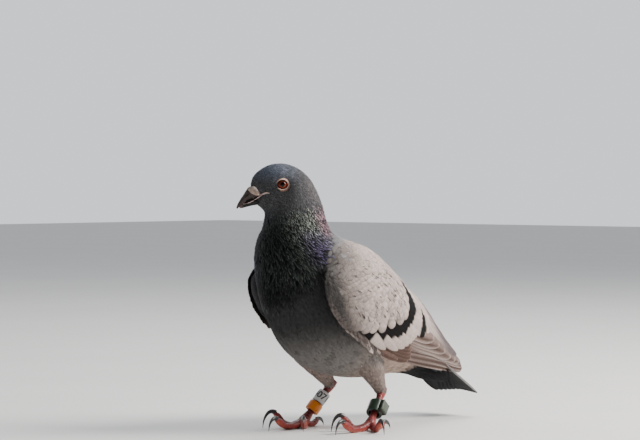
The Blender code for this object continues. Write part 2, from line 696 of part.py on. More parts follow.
def main():
    for obj in list(bpy.data.objects):
        bpy.data.objects.remove(obj)

    head, neck, trunk = make_body()
    upper_bill = make_bill("bill_upper", UPPER_BILL)
    lower_bill = make_bill("bill_lower", LOWER_BILL)
    forward, left, up = CERE_MIDDLE
    for side, sign in (("left", 1), ("right", -1)):
        cere = ball("cere_" + side, (forward, sign * left, up), CERE_RADII, "cere_white", -CERE_SLOPE)
        eye_middle = (EYE_FORWARD, sign * EYE_OUT, EYE_UP)
        ball("eye_" + side, eye_middle, (EYE_RADIUS,) * 3, "eye_orange")
        make_lid("lid_" + side, sign)
        socket_middle = (EYE_FORWARD, sign * LID_OUT, EYE_UP)
        socket = as_helper(ball("socket_" + side, socket_middle, SOCKET_RADII, "lid_skin"))
        carve(head, socket)
        carve(head, cere)
        carve(cere, upper_bill)
    gape_at, gape_up = cut_plane(GAPE_CUT)
    keep_side(upper_bill, gape_at, gape_up)
    keep_side(lower_bill, gape_at, -gape_up)
    carve(upper_bill, head)
    carve(lower_bill, head)

    tail = make_tail()
    carve(trunk, tail)
    for piece in make_wing():
        for half in (piece, mirrored(piece, piece.name.replace("left", "right"))):
            carve(trunk, half)
            if half.name.startswith("primaries"):
                carve(tail, half)

    for side in ("left", "right"):
        thigh, shank = make_leg(side)
        carve(thigh, trunk)
        for toe in TOES:
            carve(make_toe(side, toe), shank)
            make_claw(side, toe)

    for name in RINGS:
        make_ring(name)
    chip = bpy.data.objects["ring_chip"]
    join = chip.modifiers.new("chip box", "BOOLEAN")
    join.operation = "UNION"
    join.solver = "EXACT"
    join.object = make_chip_box()

    stand_on_origin(list(bpy.data.objects))


main()
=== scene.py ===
"""A racing pigeon in full feather, standing alert with its head turned: the looks of a life-size model.

Metres, +Z up. The bird faces -Y and its left side is +X. The tables below are in millimetres in
the bird's own terms, forward, left and up, before its head is turned. Every feather is a thin
closed vane laid on one of the bird's surfaces, and takes its markings from where it grows.
"""

import json
import math

import bmesh
import bpy
import numpy as np
from bpy.props import FloatProperty, FloatVectorProperty, PointerProperty, StringProperty
from bpy.types import Operator, Panel, PropertyGroup
from mathutils import Matrix, Vector, noise
from mathutils.bvhtree import BVHTree
from mathutils.kdtree import KDTree

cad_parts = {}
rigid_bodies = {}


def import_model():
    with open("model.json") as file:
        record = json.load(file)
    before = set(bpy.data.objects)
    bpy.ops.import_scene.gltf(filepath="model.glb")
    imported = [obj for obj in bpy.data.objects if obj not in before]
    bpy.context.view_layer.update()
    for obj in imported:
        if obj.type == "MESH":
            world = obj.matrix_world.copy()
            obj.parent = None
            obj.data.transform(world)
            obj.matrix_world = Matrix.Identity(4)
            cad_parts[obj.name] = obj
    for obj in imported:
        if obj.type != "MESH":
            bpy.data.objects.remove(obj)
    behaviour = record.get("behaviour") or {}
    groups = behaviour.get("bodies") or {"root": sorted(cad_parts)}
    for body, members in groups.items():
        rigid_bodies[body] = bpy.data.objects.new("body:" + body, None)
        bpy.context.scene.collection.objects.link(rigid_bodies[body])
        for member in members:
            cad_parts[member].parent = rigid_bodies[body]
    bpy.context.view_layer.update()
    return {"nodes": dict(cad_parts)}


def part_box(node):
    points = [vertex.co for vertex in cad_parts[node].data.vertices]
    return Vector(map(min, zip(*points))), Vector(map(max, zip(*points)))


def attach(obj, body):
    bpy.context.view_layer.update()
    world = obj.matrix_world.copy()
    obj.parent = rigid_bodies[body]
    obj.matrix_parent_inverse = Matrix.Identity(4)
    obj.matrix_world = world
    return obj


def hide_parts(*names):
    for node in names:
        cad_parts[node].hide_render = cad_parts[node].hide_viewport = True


bl_info = {
    "name": "Racing pigeon",
    "version": (1, 0, 0),
    "blender": (4, 5, 0),
    "location": "3D View > Sidebar > Pigeon",
    "description": "Builds a life-size racing pigeon, feather by feather, over its frame",
    "category": "Object",
}

for leftover in list(bpy.data.objects):
    bpy.data.objects.remove(leftover)
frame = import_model()

MM = 0.001

# ---------------------------------------------------------------- the bird's shape

HEAD_TURN = math.radians(-38)
TURN_AXIS_FORWARD = 28
TURN_FROM, TURN_TO = 112, 160
# From the bill's base over the crown, down the neck and along the trunk to the rump:
# dorsal forward, dorsal up, ventral forward, ventral up, half width, widest level, squareness
BODY_STATIONS = (
    (58.6, 173.6, 56.2, 162.4, 3.4, 0.50, 2.0),
    (58.0, 177.6, 54.2, 161.4, 5.0, 0.52, 2.0),
    (56.2, 181.6, 51.9, 159.8, 6.8, 0.52, 2.1),
    (52.0, 185.6, 50.0, 158.0, 9.0, 0.50, 2.1),
    (45.4, 189.1, 48.9, 156.6, 11.5, 0.50, 2.1),
    (37.6, 190.3, 48.4, 155.4, 13.2, 0.50, 2.0),
    (29.6, 188.9, 48.3, 154.0, 13.8, 0.50, 2.0),
    (22.2, 185.0, 48.4, 152.4, 14.6, 0.50, 2.0),
    (16.0, 178.8, 48.7, 150.4, 15.8, 0.50, 2.0),
    (11.6, 171.0, 49.1, 147.6, 17.6, 0.50, 2.0),
    (8.0, 161.8, 50.2, 143.6, 20.0, 0.50, 2.0),
    (4.8, 149.8, 53.0, 137.5, 24.0, 0.50, 2.0),
    (0.2, 141.0, 55.4, 128.5, 27.9, 0.48, 1.92),
    (-9.0, 136.2, 56.2, 116.5, 32.0, 0.44, 1.84),
    (-22.0, 133.0, 55.5, 102.0, 34.8, 0.41, 1.76),
    (-37.0, 127.6, 51.5, 86.5, 36.4, 0.40, 1.74),
    (-53.0, 118.4, 42.0, 71.0, 37.6, 0.42, 1.78),
    (-69.0, 106.6, 27.0, 56.5, 38.6, 0.47, 1.95),
    (-84.0, 94.0, 6.0, 44.6, 36.8, 0.52, 2.1),
    (-97.0, 82.0, -18.0, 37.4, 32.5, 0.54, 2.1),
    (-108.0, 71.0, -44.0, 35.4, 27.0, 0.52, 2.0),
    (-117.0, 61.6, -72.0, 36.6, 22.5, 0.50, 2.0),
    (-124.0, 53.6, -97.0, 34.2, 20.0, 0.50, 2.0),
    (-130.0, 45.0, -117.0, 29.0, 17.5, 0.50, 2.0),
    (-134.0, 37.0, -129.0, 27.0, 12.0, 0.50, 2.0),
)
# Swellings and hollows of the head's side: (forward, up, spread, how far out)
HEAD_FEATURES = (
    (37.8, 175.4, 6.4, -1.7),
    (47.5, 172.5, 4.5, -0.7),
    (29.5, 167.5, 7.0, 0.7),
    (38.5, 182.4, 4.0, 0.5),
)
EYE_FORWARD, EYE_UP, EYE_OUT, EYE_RADIUS = 37.8, 175.4, 9.2, 4.15

# The folded left wing from its bend to its tips: lower edge (forward, left, up),
# upper edge (forward, left, up), outward bulge
WING_STATIONS = (
    (36.0, 36.8, 105.0, 35.2, 36.0, 110.5, 0.6),
    (34.2, 37.2, 96.5, 30.2, 34.2, 117.0, 2.4),
    (27.2, 37.4, 85.5, 21.0, 30.0, 123.0, 5.6),
    (16.0, 37.6, 75.5, 6.0, 25.5, 128.8, 9.8),
    (1.0, 38.2, 66.5, -10.0, 21.5, 132.4, 14.0),
    (-16.0, 36.8, 57.5, -28.0, 16.5, 131.4, 16.6),
    (-35.0, 34.0, 50.4, -46.0, 13.0, 124.4, 17.6),
    (-54.0, 30.5, 46.0, -64.0, 10.0, 113.6, 17.0),
    (-75.0, 26.5, 42.4, -82.0, 8.0, 101.0, 15.0),
    (-97.0, 22.5, 39.3, -98.0, 6.5, 92.4, 12.0),
    (-117.0, 18.5, 36.9, -113.0, 5.5, 78.6, 8.5),
    (-134.0, 15.0, 35.2, -130.0, 5.0, 63.4, 5.5),
    (-146.0, 12.5, 34.0, -144.5, 5.0, 53.4, 3.0),
    (-152.5, 10.5, 34.2, -151.5, 6.5, 42.4, 1.0),
)

TAIL_ROOT, TAIL_TIP = (-100.0, 56.0), (-157.5, 15.4)
TAIL_HALF_WIDTHS = (17.0, 24.5)
TAIL_ARCH = 2.6
TAIL_FEATHERS = 12

LEG_POINTS = {
    "left": {"hock": (-42.0, 22.0, 25.6), "pad": (-21.7, 28.9, 5.2), "knee": (-22.0, 20.0, 62.0)},
    "right": {"hock": (-26.7, -13.8, 29.6), "pad": (-6.8, -21.3, 5.2), "knee": (-4.0, -17.0, 62.0)},
}
THIGH_RADII = ((-0.09, 3.2), (0.04, 3.7), (0.18, 4.9), (0.52, 9.0), (1.0, 14.5))
THIGH_FLATTEN = 1.12
SHANK_RADII = ((-0.14, 3.2), (0.05, 3.3), (0.28, 2.35), (0.7, 2.35), (0.9, 3.3), (1.02, 4.1), (1.1, 3.2))
TOE_HEADINGS = {  # degrees to the bird's left of straight ahead
    "left": {"inner": -26, "middle": 4, "outer": 59, "hind": 176},
    "right": {"inner": 41, "middle": 4, "outer": -35, "hind": 178},
}
TOES = {  # length to the claw, thickness, lift of its end, joints
    "inner": (22.0, 0.92, 1.0, 2),
    "middle": (32.5, 1.0, 1.0, 3),
    "outer": (22.5, 0.9, 1.0, 3),
    "hind": (14.0, 0.88, 0.45, 1),
}
TOES_RAISED = {("right", "outer"): 2.6, ("left", "inner"): 2.4}
TOE_RADIUS, TOE_REST_HEIGHT = 2.6, 1.95
CLAW_LENGTH, CLAW_RADIUS = 13.0, 1.5
CLAW_SWEEP, CLAW_LIFT = math.radians(112), math.radians(24)
CLAW_INSET = 1.2
RINGS = {  # leg, share of the shank at the ring's middle, height, outer radius, bore radius
    "ring_white": ("right", 0.355, 9.2, 4.75, 3.85),
    "ring_orange": ("right", 0.634, 7.0, 5.2, 3.85),
    "ring_chip": ("left", 0.53, 10.0, 5.9, 4.1),
}
# The housing's width and how far it stands out, and its side as forward and left
CHIP_BOX = (7.4, 3.4)
CHIP_BOX_SIDE = (0.0, 1.0)


def rows_at(rows, at):
    """Rows of numbers read at fractional places along a Catmull-Rom curve, straight beyond its ends."""
    rows = np.asarray(rows, float)
    padded = np.vstack([2 * rows[0] - rows[1], rows, 2 * rows[-1] - rows[-2]])
    last = len(rows) - 1
    inside = np.clip(at, 0, last)
    i = np.minimum(inside.astype(int), last - 1)
    t = (inside - i)[..., None]
    a, b, c, d = (padded[i + k] for k in range(4))
    curve = 2 * b + (c - a) * t + (2 * a - 5 * b + 4 * c - d) * t**2 + (3 * b - a - 3 * c + d) * t**3
    past = (at - inside)[..., None]
    return 0.5 * curve + np.where(past > 0, rows[-1] - rows[-2], rows[1] - rows[0]) * past


def read(table, at, column=1):
    """A table's column between its rows, by the rising numbers of its first column."""
    rows = np.array(table)
    return np.interp(at, rows[:, 0], rows[:, column])


def ease(low, high, value):
    """From 0 at low to 1 at high, smoothly. low may be the greater of the two."""
    share = np.clip((value - low) / (high - low), 0.0, 1.0)
    return share * share * (3 - 2 * share)


def mix(first, second, share):
    """From the first colours to the second by shares, which lack the colours' last axis."""
    return np.asarray(first) + (np.asarray(second) - np.asarray(first)) * np.asarray(share)[..., None]


def scaled(colour, factor):
    return tuple(c * factor for c in colour)


def varied(rng, n, spread, low=0.0, high=9.0):
    """Factors spread by chance about 1."""
    return (1 + spread * rng.standard_normal(n)).clip(low, high)


def toned(colours, rng, spread):
    """Each feather's colour, by chance a little lighter or darker."""
    return colours * np.exp(spread * rng.standard_normal(len(colours)))[:, None]


def shaded(colours, shade):
    """Each feather's colour times a painted shade from place to place of its vane."""
    return colours[:, None] * shade[None, :, None]


def place(forward, left, up):
    """Points of the bird's own frame, in millimetres, as points in metres."""
    forward, left, up = np.broadcast_arrays(forward, left, up)
    return np.stack([left, -forward, up], -1) * MM


def turned(points, back=False):
    """Points turned with the head, by more the higher they lie up to the head, or turned back."""
    angle = HEAD_TURN * ease(TURN_FROM, TURN_TO, points[..., 2] / MM) * (-1 if back else 1)
    x, y = points[..., 0], points[..., 1] + TURN_AXIS_FORWARD * MM
    cos, sin = np.cos(angle), np.sin(angle)
    return np.stack([cos * x - sin * y, sin * x + cos * y - TURN_AXIS_FORWARD * MM, points[..., 2]], -1)


def find_shift():
    """From the tables' frame to the part's, read from where the left eye stands."""
    low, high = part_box("eye_left")
    return np.array((low + high) / 2) - turned(place(EYE_FORWARD, EYE_OUT, EYE_UP))


SHIFT = find_shift() * (1, 1, 0)


def head_side(forward, left, up):
    """The head's width with its hollows round the eyes and before them, and its cheeks."""
    for at_forward, at_up, spread, out in HEAD_FEATURES:
        apart = (forward - at_forward) ** 2 + (up - at_up) ** 2
        left = left + np.tanh(left / 3) * out * np.exp(-apart / spread**2)
    return left


def body_surface(along, around):
    """A point of the body: along in stations, around in radians from the back over the left side."""
    row = rows_at(BODY_STATIONS, along)
    dorsal, ventral = row[..., 0:2], row[..., 2:4]
    half, level, power = row[..., 4], row[..., 5, None], 2 / row[..., 6]
    middle = dorsal + (ventral - dorsal) * level
    left = half * np.sign(np.sin(around)) * np.abs(np.sin(around)) ** power
    reach = np.where(np.cos(around)[..., None] > 0, dorsal, ventral) - middle
    at = middle + reach * (np.abs(np.cos(around)) ** power)[..., None]
    return turned(place(at[..., 0], head_side(at[..., 0], left, at[..., 1]), at[..., 1]))


def wing_chord(along):
    """The left wing's lower edge, the chord to its upper edge, the way out of it and its bulge."""
    row = rows_at(WING_STATIONS, along)
    lower = place(row[..., 0], row[..., 1], row[..., 2])
    chord = place(row[..., 3], row[..., 4], row[..., 5]) - lower
    outward = np.stack([chord[..., 2], 0 * chord[..., 2], -chord[..., 0]], -1)
    return lower, chord, outward / np.linalg.norm(outward, axis=-1, keepdims=True), row[..., 6] * MM


def wing_surface(along, share):
    """A point of the left wing's outer side: along in stations, share from its lower to its upper edge."""
    lower, chord, outward, bulge = wing_chord(along)
    over = np.maximum(share - 1, 0)
    lift = bulge * np.sin(np.pi * np.clip(share, 0, 1)) ** 0.8 - over * np.linalg.norm(chord, axis=-1)
    return lower + chord * (share - 0.6 * over)[..., None] + outward * lift[..., None]


def tail_surface(along, across):
    """A point of the tail's middle layer: along from root to tip, across from -1, right, to 1."""
    root, tip = place(TAIL_ROOT[0], 0, TAIL_ROOT[1]), place(TAIL_TIP[0], 0, TAIL_TIP[1])
    ahead = tip - root
    above = np.cross((1, 0, 0), ahead / np.linalg.norm(ahead))
    half = TAIL_HALF_WIDTHS[0] + (TAIL_HALF_WIDTHS[1] - TAIL_HALF_WIDTHS[0]) * np.clip(along, 0, 2) ** 0.8
    arch = (TAIL_ARCH * (1 - across**2) * MM)[..., None] * above
    return root + ahead * along[..., None] + place(0, half * across, 0) + arch


def thigh_surface(side):
    """The feathered thigh as a surface: along from the knee, 0, to the hock, 1, and round it."""
    hock, knee = (place(*LEG_POINTS[side][k]) for k in ("hock", "knee"))
    ahead = (knee - hock) / np.linalg.norm(knee - hock)
    across = np.cross(ahead, (0, 0, 1))
    across /= np.linalg.norm(across)
    top = np.cross(across, ahead) * THIGH_FLATTEN
    radii = rows_at(THIGH_RADII, np.linspace(0, 4, 200))

    def surface(along, around):
        middle = hock + (knee - hock) * (1 - along)[..., None]
        rim = across * np.cos(around)[..., None] + top * np.sin(around)[..., None]
        return middle + read(radii, 1 - along)[..., None] * MM * rim

    return surface


# ---------------------------------------------------------------- vanes and how they are laid


class Vane:
    """A closed feather vane, 1 long and 1 wide to each side, which is copied many times over."""

    def __init__(self, breadths, columns, camber, round_tip=0.0, thickness=0.0):
        rows = np.array(breadths, float)
        bm = bmesh.new()
        bmesh.ops.create_grid(bm, x_segments=columns, y_segments=len(rows) - 1, size=1.0)
        for vert in bm.verts:
            row = round((vert.co.y + 1) / 2 * (len(rows) - 1))
            along, breadth = rows[row]
            u = vert.co.x
            tip = round_tip * (1 - u * u) if row == len(rows) - 1 else 0.0
            vert.co = (u * breadth, along + tip, camber * (1 - u * u) * breadth)
        bmesh.ops.remove_doubles(bm, verts=bm.verts, dist=1e-4)
        if thickness:
            bmesh.ops.solidify(bm, geom=bm.faces[:], thickness=thickness)
        else:
            rim = [edge for edge in bm.edges if edge.is_boundary]
            bmesh.ops.holes_fill(bm, edges=rim, sides=0)
        bmesh.ops.recalc_face_normals(bm, faces=bm.faces)
        bmesh.ops.triangulate(bm, faces=bm.faces)
        self.points = np.array([vert.co for vert in bm.verts])
        self.triangles = np.array([[vert.index for vert in face.verts] for face in bm.faces])
        breadth = np.interp(self.points[:, 1], rows[:, 0], np.maximum(rows[:, 1], 0.05))
        self.across = np.clip(self.points[:, 0] / breadth, -1, 1)
        self.along = np.clip(self.points[:, 1], 0, 1)
        bm.free()


def length_of(vectors):
    return np.linalg.norm(vectors, axis=-1, keepdims=True)


def tangents(surface, along, across, facing):
    """How a surface runs along and across at each place, and its outward normal."""
    step = 0.02
    ahead = (surface(along + step, across) - surface(along - step, across)) / (2 * step)
    aside = (surface(along, across + step) - surface(along, across - step)) / (2 * step)
    normal = np.cross(aside, ahead) * facing
    return ahead, aside, normal / np.maximum(length_of(normal), 1e-12)


def steps_for(ahead, aside, move):
    """The steps along and across a surface that make a small move on it."""
    e, f, g = (ahead * ahead).sum(-1), (ahead * aside).sum(-1), (aside * aside).sum(-1)
    b, c = (move * ahead).sum(-1), (move * aside).sum(-1)
    area = np.maximum(e * g - f * f, 1e-16)
    return (g * b - f * c) / area, (e * c - f * b) / area


def tips_from(surface, facing, along, across, lean, length):
    """Where feathers that lie along the surface end: lean is to its left, length in millimetres."""
    at = [along, across]
    for _ in range(2):
        ahead, aside, normal = tangents(surface, *at, facing)
        ahead_unit = ahead / length_of(ahead)
        heading = ahead_unit * np.cos(lean)[..., None]
        heading = heading + np.cross(normal, ahead_unit) * np.sin(lean)[..., None]
        step = steps_for(ahead, aside, heading * (length * MM)[..., None])
        at = [along + step[0] / 2, across + step[1] / 2]
    return along + step[0], across + step[1]


class Coat:
    """Feathers laid on surfaces, gathered and then joined into one mesh."""

    def __init__(self):
        self.points, self.triangles, self.colours, self.vanes, self.patches = [], [], [], [], []
        self.count = 0

    def lay(self, vane, surface, facing, roots, tips, sizes, colours, patches, rise=0.75, sweep=0.0):
        """Lays one vane from each root to each tip.

        sizes are the half width, how deep the root lies and how far the tip stands off, in millimetres,
        and patches are each root's place on the unwrap and its size there."""
        n, m = len(roots[0]), len(vane.points)
        half, depth, lift = (np.broadcast_to(size, n)[:, None] * MM for size in sizes)
        run = [(tip - root)[:, None] for root, tip in zip(roots, tips)]
        p, q = (root[:, None] + step * vane.points[None, :, 1] for root, step in zip(roots, run))
        ahead, aside, normal = tangents(surface, p, q, facing)
        heading = ahead * run[0][..., None] + aside * run[1][..., None]
        sideways = np.cross(heading / np.maximum(length_of(heading), 1e-12), normal)
        v = vane.along[None]
        offset = half * (vane.points[None, :, 0] + sweep * v * (1 - v))
        dp, dq = steps_for(ahead, aside, sideways * offset[..., None])
        height = (depth + lift) * v**rise - depth + half * vane.points[None, :, 2]
        points = surface(p + dp, q + dq) + normal * height[..., None]
        self.points.append(points.reshape(-1, 3))
        triangles = vane.triangles[None] + (np.arange(n) * m)[:, None, None] + self.count
        self.triangles.append(triangles.reshape(-1, 3))
        self.colours.append(np.broadcast_to(colours, (n, m, 3)).reshape(-1, 3))
        local = np.stack([vane.across * 0.5 + 0.5, vane.along], -1)
        self.vanes.append(np.broadcast_to(local, (n, m, 2)).reshape(-1, 2))
        corner = np.stack(patches[:2], -1)[:, None]
        self.patches.append((corner + (local[None] - 0.5) * patches[2]).reshape(-1, 2))
        self.count += n * m

    def mirrored(self):
        """The same feathers on the bird's other side."""
        other = Coat()
        other.points = [points * (-1, 1, 1) for points in self.points]
        other.triangles = [triangles[:, ::-1] for triangles in self.triangles]
        other.colours, other.vanes, other.patches = self.colours, self.vanes, self.patches
        return other

    def build(self, name, finish, slot, *nodes):
        triangles = np.concatenate(self.triangles)
        mesh = mesh_from(name, np.concatenate(self.points) + SHIFT, triangles)
        add_colours(mesh, np.concatenate(self.colours))
        for title, values in (("OFBake", self.patches), ("vane", self.vanes)):
            layer = mesh.uv_layers.new(name=title)
            layer.data.foreach_set("uv", np.concatenate(values)[triangles.ravel()].ravel())
        mesh.uv_layers["OFBake"].active = True
        mesh.shade_smooth()
        mesh.set_sharp_from_angle(angle=math.radians(55))
        finished(name, mesh, finish, slot, *nodes)

    def build_pair(self, name, finish, slot, *nodes):
        """The left wing's feathers, and their mirror image on the right wing."""
        for side, coat in (("_left", self), ("_right", self.mirrored())):
            coat.build(name + side, finish, slot, *(node + side for node in nodes))


def mesh_from(name, points, triangles):
    mesh = bpy.data.meshes.new(name)
    mesh.vertices.add(len(points))
    mesh.vertices.foreach_set("co", points.astype(np.float32).ravel())
    mesh.loops.add(triangles.size)
    mesh.loops.foreach_set("vertex_index", triangles.astype(np.int32).ravel())
    mesh.polygons.add(len(triangles))
    mesh.polygons.foreach_set("loop_start", np.arange(0, triangles.size, 3, dtype=np.int32))
    mesh.update(calc_edges=True)
    mesh.validate()
    return mesh


# The colours hold each piece's markings together with any light and shade painted into them
def add_colours(mesh, colours):
    layer = mesh.attributes.new("marking", "FLOAT_COLOR", "POINT")
    rgba = np.ones((len(colours), 4), np.float32)
    rgba[:, :3] = np.clip(colours, 0, 1)
    layer.data.foreach_set("color", rgba.ravel())


def added(name, data):
    """A new object in the scene."""
    obj = bpy.data.objects.new(name, data)
    bpy.context.scene.collection.objects.link(obj)
    return obj


def finished(name, mesh, finish, slot, *nodes):
    """Makes the mesh a piece of the bird that stands for some of the frame's nodes."""
    mesh.materials.append(finish.material)
    obj = added(name, mesh)
    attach(obj, "root")
    if nodes:
        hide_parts(*nodes)
    return obj


def mesh_of(bm, name):
    """The bmesh as a mesh. The bmesh is used up."""
    mesh = bpy.data.meshes.new(name)
    bm.to_mesh(mesh)
    bm.free()
    return mesh


def fused(bm, voxel, passes):
    """The bmesh's overlapping shapes remeshed into one closed skin, and smoothed."""
    source = added("source", mesh_of(bm, "source"))
    remesh = source.modifiers.new("one skin", "REMESH")
    remesh.mode = "VOXEL"
    remesh.voxel_size = voxel
    graph = bpy.context.evaluated_depsgraph_get()
    mesh = bpy.data.meshes.new_from_object(source.evaluated_get(graph))
    bpy.data.objects.remove(source)
    bm = bmesh.new()
    bm.from_mesh(mesh)
    bpy.data.meshes.remove(mesh)
    axes = {"use_axis_" + axis: True for axis in "xyz"}
    for _ in range(passes):
        bmesh.ops.smooth_vert(bm, verts=bm.verts, factor=0.5, **axes)
    bm.normal_update()
    return bm


def scatter(surface, facing, low, high, strips, density, seed, cells=540, sweep=(0, 2 * math.pi)):
    """Roots spread evenly: density(points) feathers to the square millimetre, in strips along a surface."""
    rng = np.random.default_rng(seed)
    height, width = (high - low) / strips, (sweep[1] - sweep[0]) / cells
    p = np.repeat((low + (np.arange(strips) + 0.5) * height)[:, None], cells, 1)
    q = np.repeat((sweep[0] + (np.arange(cells) + 0.5) * width)[None], strips, 0)
    ahead, aside, _ = tangents(surface, p, q, facing)
    area = np.linalg.norm(np.cross(ahead, aside), axis=-1) * width * height / MM**2
    picks = np.floor(np.cumsum(area * density(surface(p, q)), 1) + rng.random((strips, 1)))
    new = np.diff(picks, axis=1, prepend=picks[:, :1]) > 0
    p, q = p[new], q[new]
    p = p + (rng.random(len(p)) - 0.5) * height
    return p, q + (rng.random(len(q)) - 0.5) * width


def bird_terms(points):
    """Forward, left and up in millimetres, with the head turned back straight."""
    straight = turned(points, back=True) / MM
    return -straight[..., 1], straight[..., 0], straight[..., 2]


# ---------------------------------------------------------------- the bird's markings

NECK_AXIS_FORWARD = 24
# Where the dark neck ends: degrees round from the breast's middle, and the height there
NECK_EDGE = ((0, 92), (30, 96), (60, 107), (80, 122), (100, 134), (120, 140), (145, 143), (180, 144))


def neck_angle(forward, left):
    """Degrees round the neck from the middle of its front."""
    return np.degrees(np.arctan2(np.abs(left), forward - NECK_AXIS_FORWARD))


def body_marking_and_painted_light(forward, left, up, tints):
    """The plumage's colour anywhere on the head, neck, trunk and thighs, with painted light and shade: a
    darker breast and shoulder, a lit vent and crown.
    """
    round_neck = neck_angle(forward, left)
    spine = 112 + (forward - 20) * 0.48
    back = ease(-6, 14, up - spine) * ease(24, 4, forward)
    # The breast darkens upwards: partly its own darker grey, partly painted shade of the breast turned from
    # the light
    lower = mix(tints.belly, tints.breast, ease(46, 94, up + 0.25 * forward))
    # Darker at the sides by the wing's bend, in the bend's painted shade
    shoulder = ease(74, 104, round_neck) * ease(100, 120, up)
    lower = mix(lower, mix(tints.shield_front_and_shade, tints.mantle, 0.4), shoulder)
    # The vent's warm pale grey: partly its own paler grey, partly painted light shining through from behind
    lower = mix(lower, tints.vent, ease(4, -46, forward))
    lower = mix(lower, tints.under_tail, ease(-64, -80, forward + 0.5 * (up - 40)))
    upper = mix(tints.mantle, tints.shield, ease(2, -16, forward))
    upper = mix(upper, tints.rump, ease(-70, -98, forward))
    trunk = mix(lower, upper, back)
    # The crown is lighter: partly its own bluer slate, partly painted light on the top of the head
    crown = mix(tints.head, tints.crown, ease(174, 186, up) * ease(20, 44, forward))
    crown = mix(crown, tints.nape, 0.7 * ease(28, 12, forward) * ease(160, 172, up))
    head = mix(tints.neck, crown, ease(146, 164, up + 0.20 * (forward - 30)))
    return mix(trunk, head, ease(-5 - 4 * shoulder, 5, up - read(NECK_EDGE, round_neck)))


def neck_gloss(forward, left, up, tints):
    """What the tips of the neck's feathers gleam with, and how strongly: the neck's green and purple
    iridescence, painted into their colour as a sheen.
    """
    round_neck = neck_angle(forward, left)
    gloss = mix(tints.neck_green, tints.neck_gloss, ease(30, 72, round_neck) * ease(126, 150, up))
    # Painted sheen: a purple gleam on the bird's right side only, where the neck is seen edge on
    far = ease(4, 22, -left) * ease(168, 150, up) * ease(104, 120, up)
    low_side = ease(52, 84, round_neck) * ease(152, 136, up) * ease(117, 129, up)
    gloss = mix(gloss, tints.neck_purple, np.maximum(0.75 * low_side, 0.8 * far))
    nape = ease(100, 128, round_neck) * ease(134, 146, up)
    gloss = mix(gloss, tints.neck_pink, 0.85 * nape)
    low_front = ease(118, 98, up) * ease(80, 50, round_neck)
    return mix(gloss, tints.neck, low_front), 1 - 0.8 * low_front


# The folded wing's rows of feathers, across it from the lower edge: share, and the places along
# the wing where the small coverts, the first bar and the greater coverts end
WING_ROWS = (
    (0.00, 3.30, 3.95, 4.60),
    (0.04, 3.65, 4.50, 5.30),
    (0.08, 4.20, 5.30, 6.25),
    (0.12, 4.75, 5.80, 6.70),
    (0.18, 5.30, 6.30, 7.08),
    (0.27, 5.85, 6.72, 7.40),
    (0.35, 6.40, 6.98, 7.58),
    (0.48, 6.80, 7.30, 7.80),
    (0.66, 7.00, 7.46, 7.99),
    (1.00, 6.70, 7.05, 7.60),
)


def wing_marking_and_shade(along, share, tints):
    """The ground colour of the folded wing, before its bars, with painted shade at its bend and along its
    lower front edge.
    """
    # Painted shade: darker towards the bend and the lower front edge, which are turned from the light
    front = ease(5.45, 2.95, along + 1.5 * (1 - np.exp(-share / 0.25)))
    shield = mix(tints.shield, tints.shield_front_and_shade, front)
    # Darker along the lower front edge: partly its darker edge feathers, partly painted shade
    shield = mix(shield, tints.shield_edge_and_shade, 0.8 * ease(0.11, 0.0, share) * ease(0.6, 2.0, along))
    return mix(shield, tints.flight, ease(-0.2, 0.4, along - read(WING_ROWS, share, 3)))


# ---------------------------------------------------------------- settings


def tint(name, description, value):
    return FloatVectorProperty(name=name, description=description, subtype="COLOR", size=3, default=value)


def size(name, description, value):
    return FloatProperty(name=name, description=description, unit="LENGTH", subtype="DISTANCE", default=value)


def factor(name, description, value):
    return FloatProperty(name=name, description=description, subtype="FACTOR", default=value, max=4.0)


def light(name, description, value):
    return FloatProperty(name=name, description=description, unit="POWER", default=value, min=0.0)


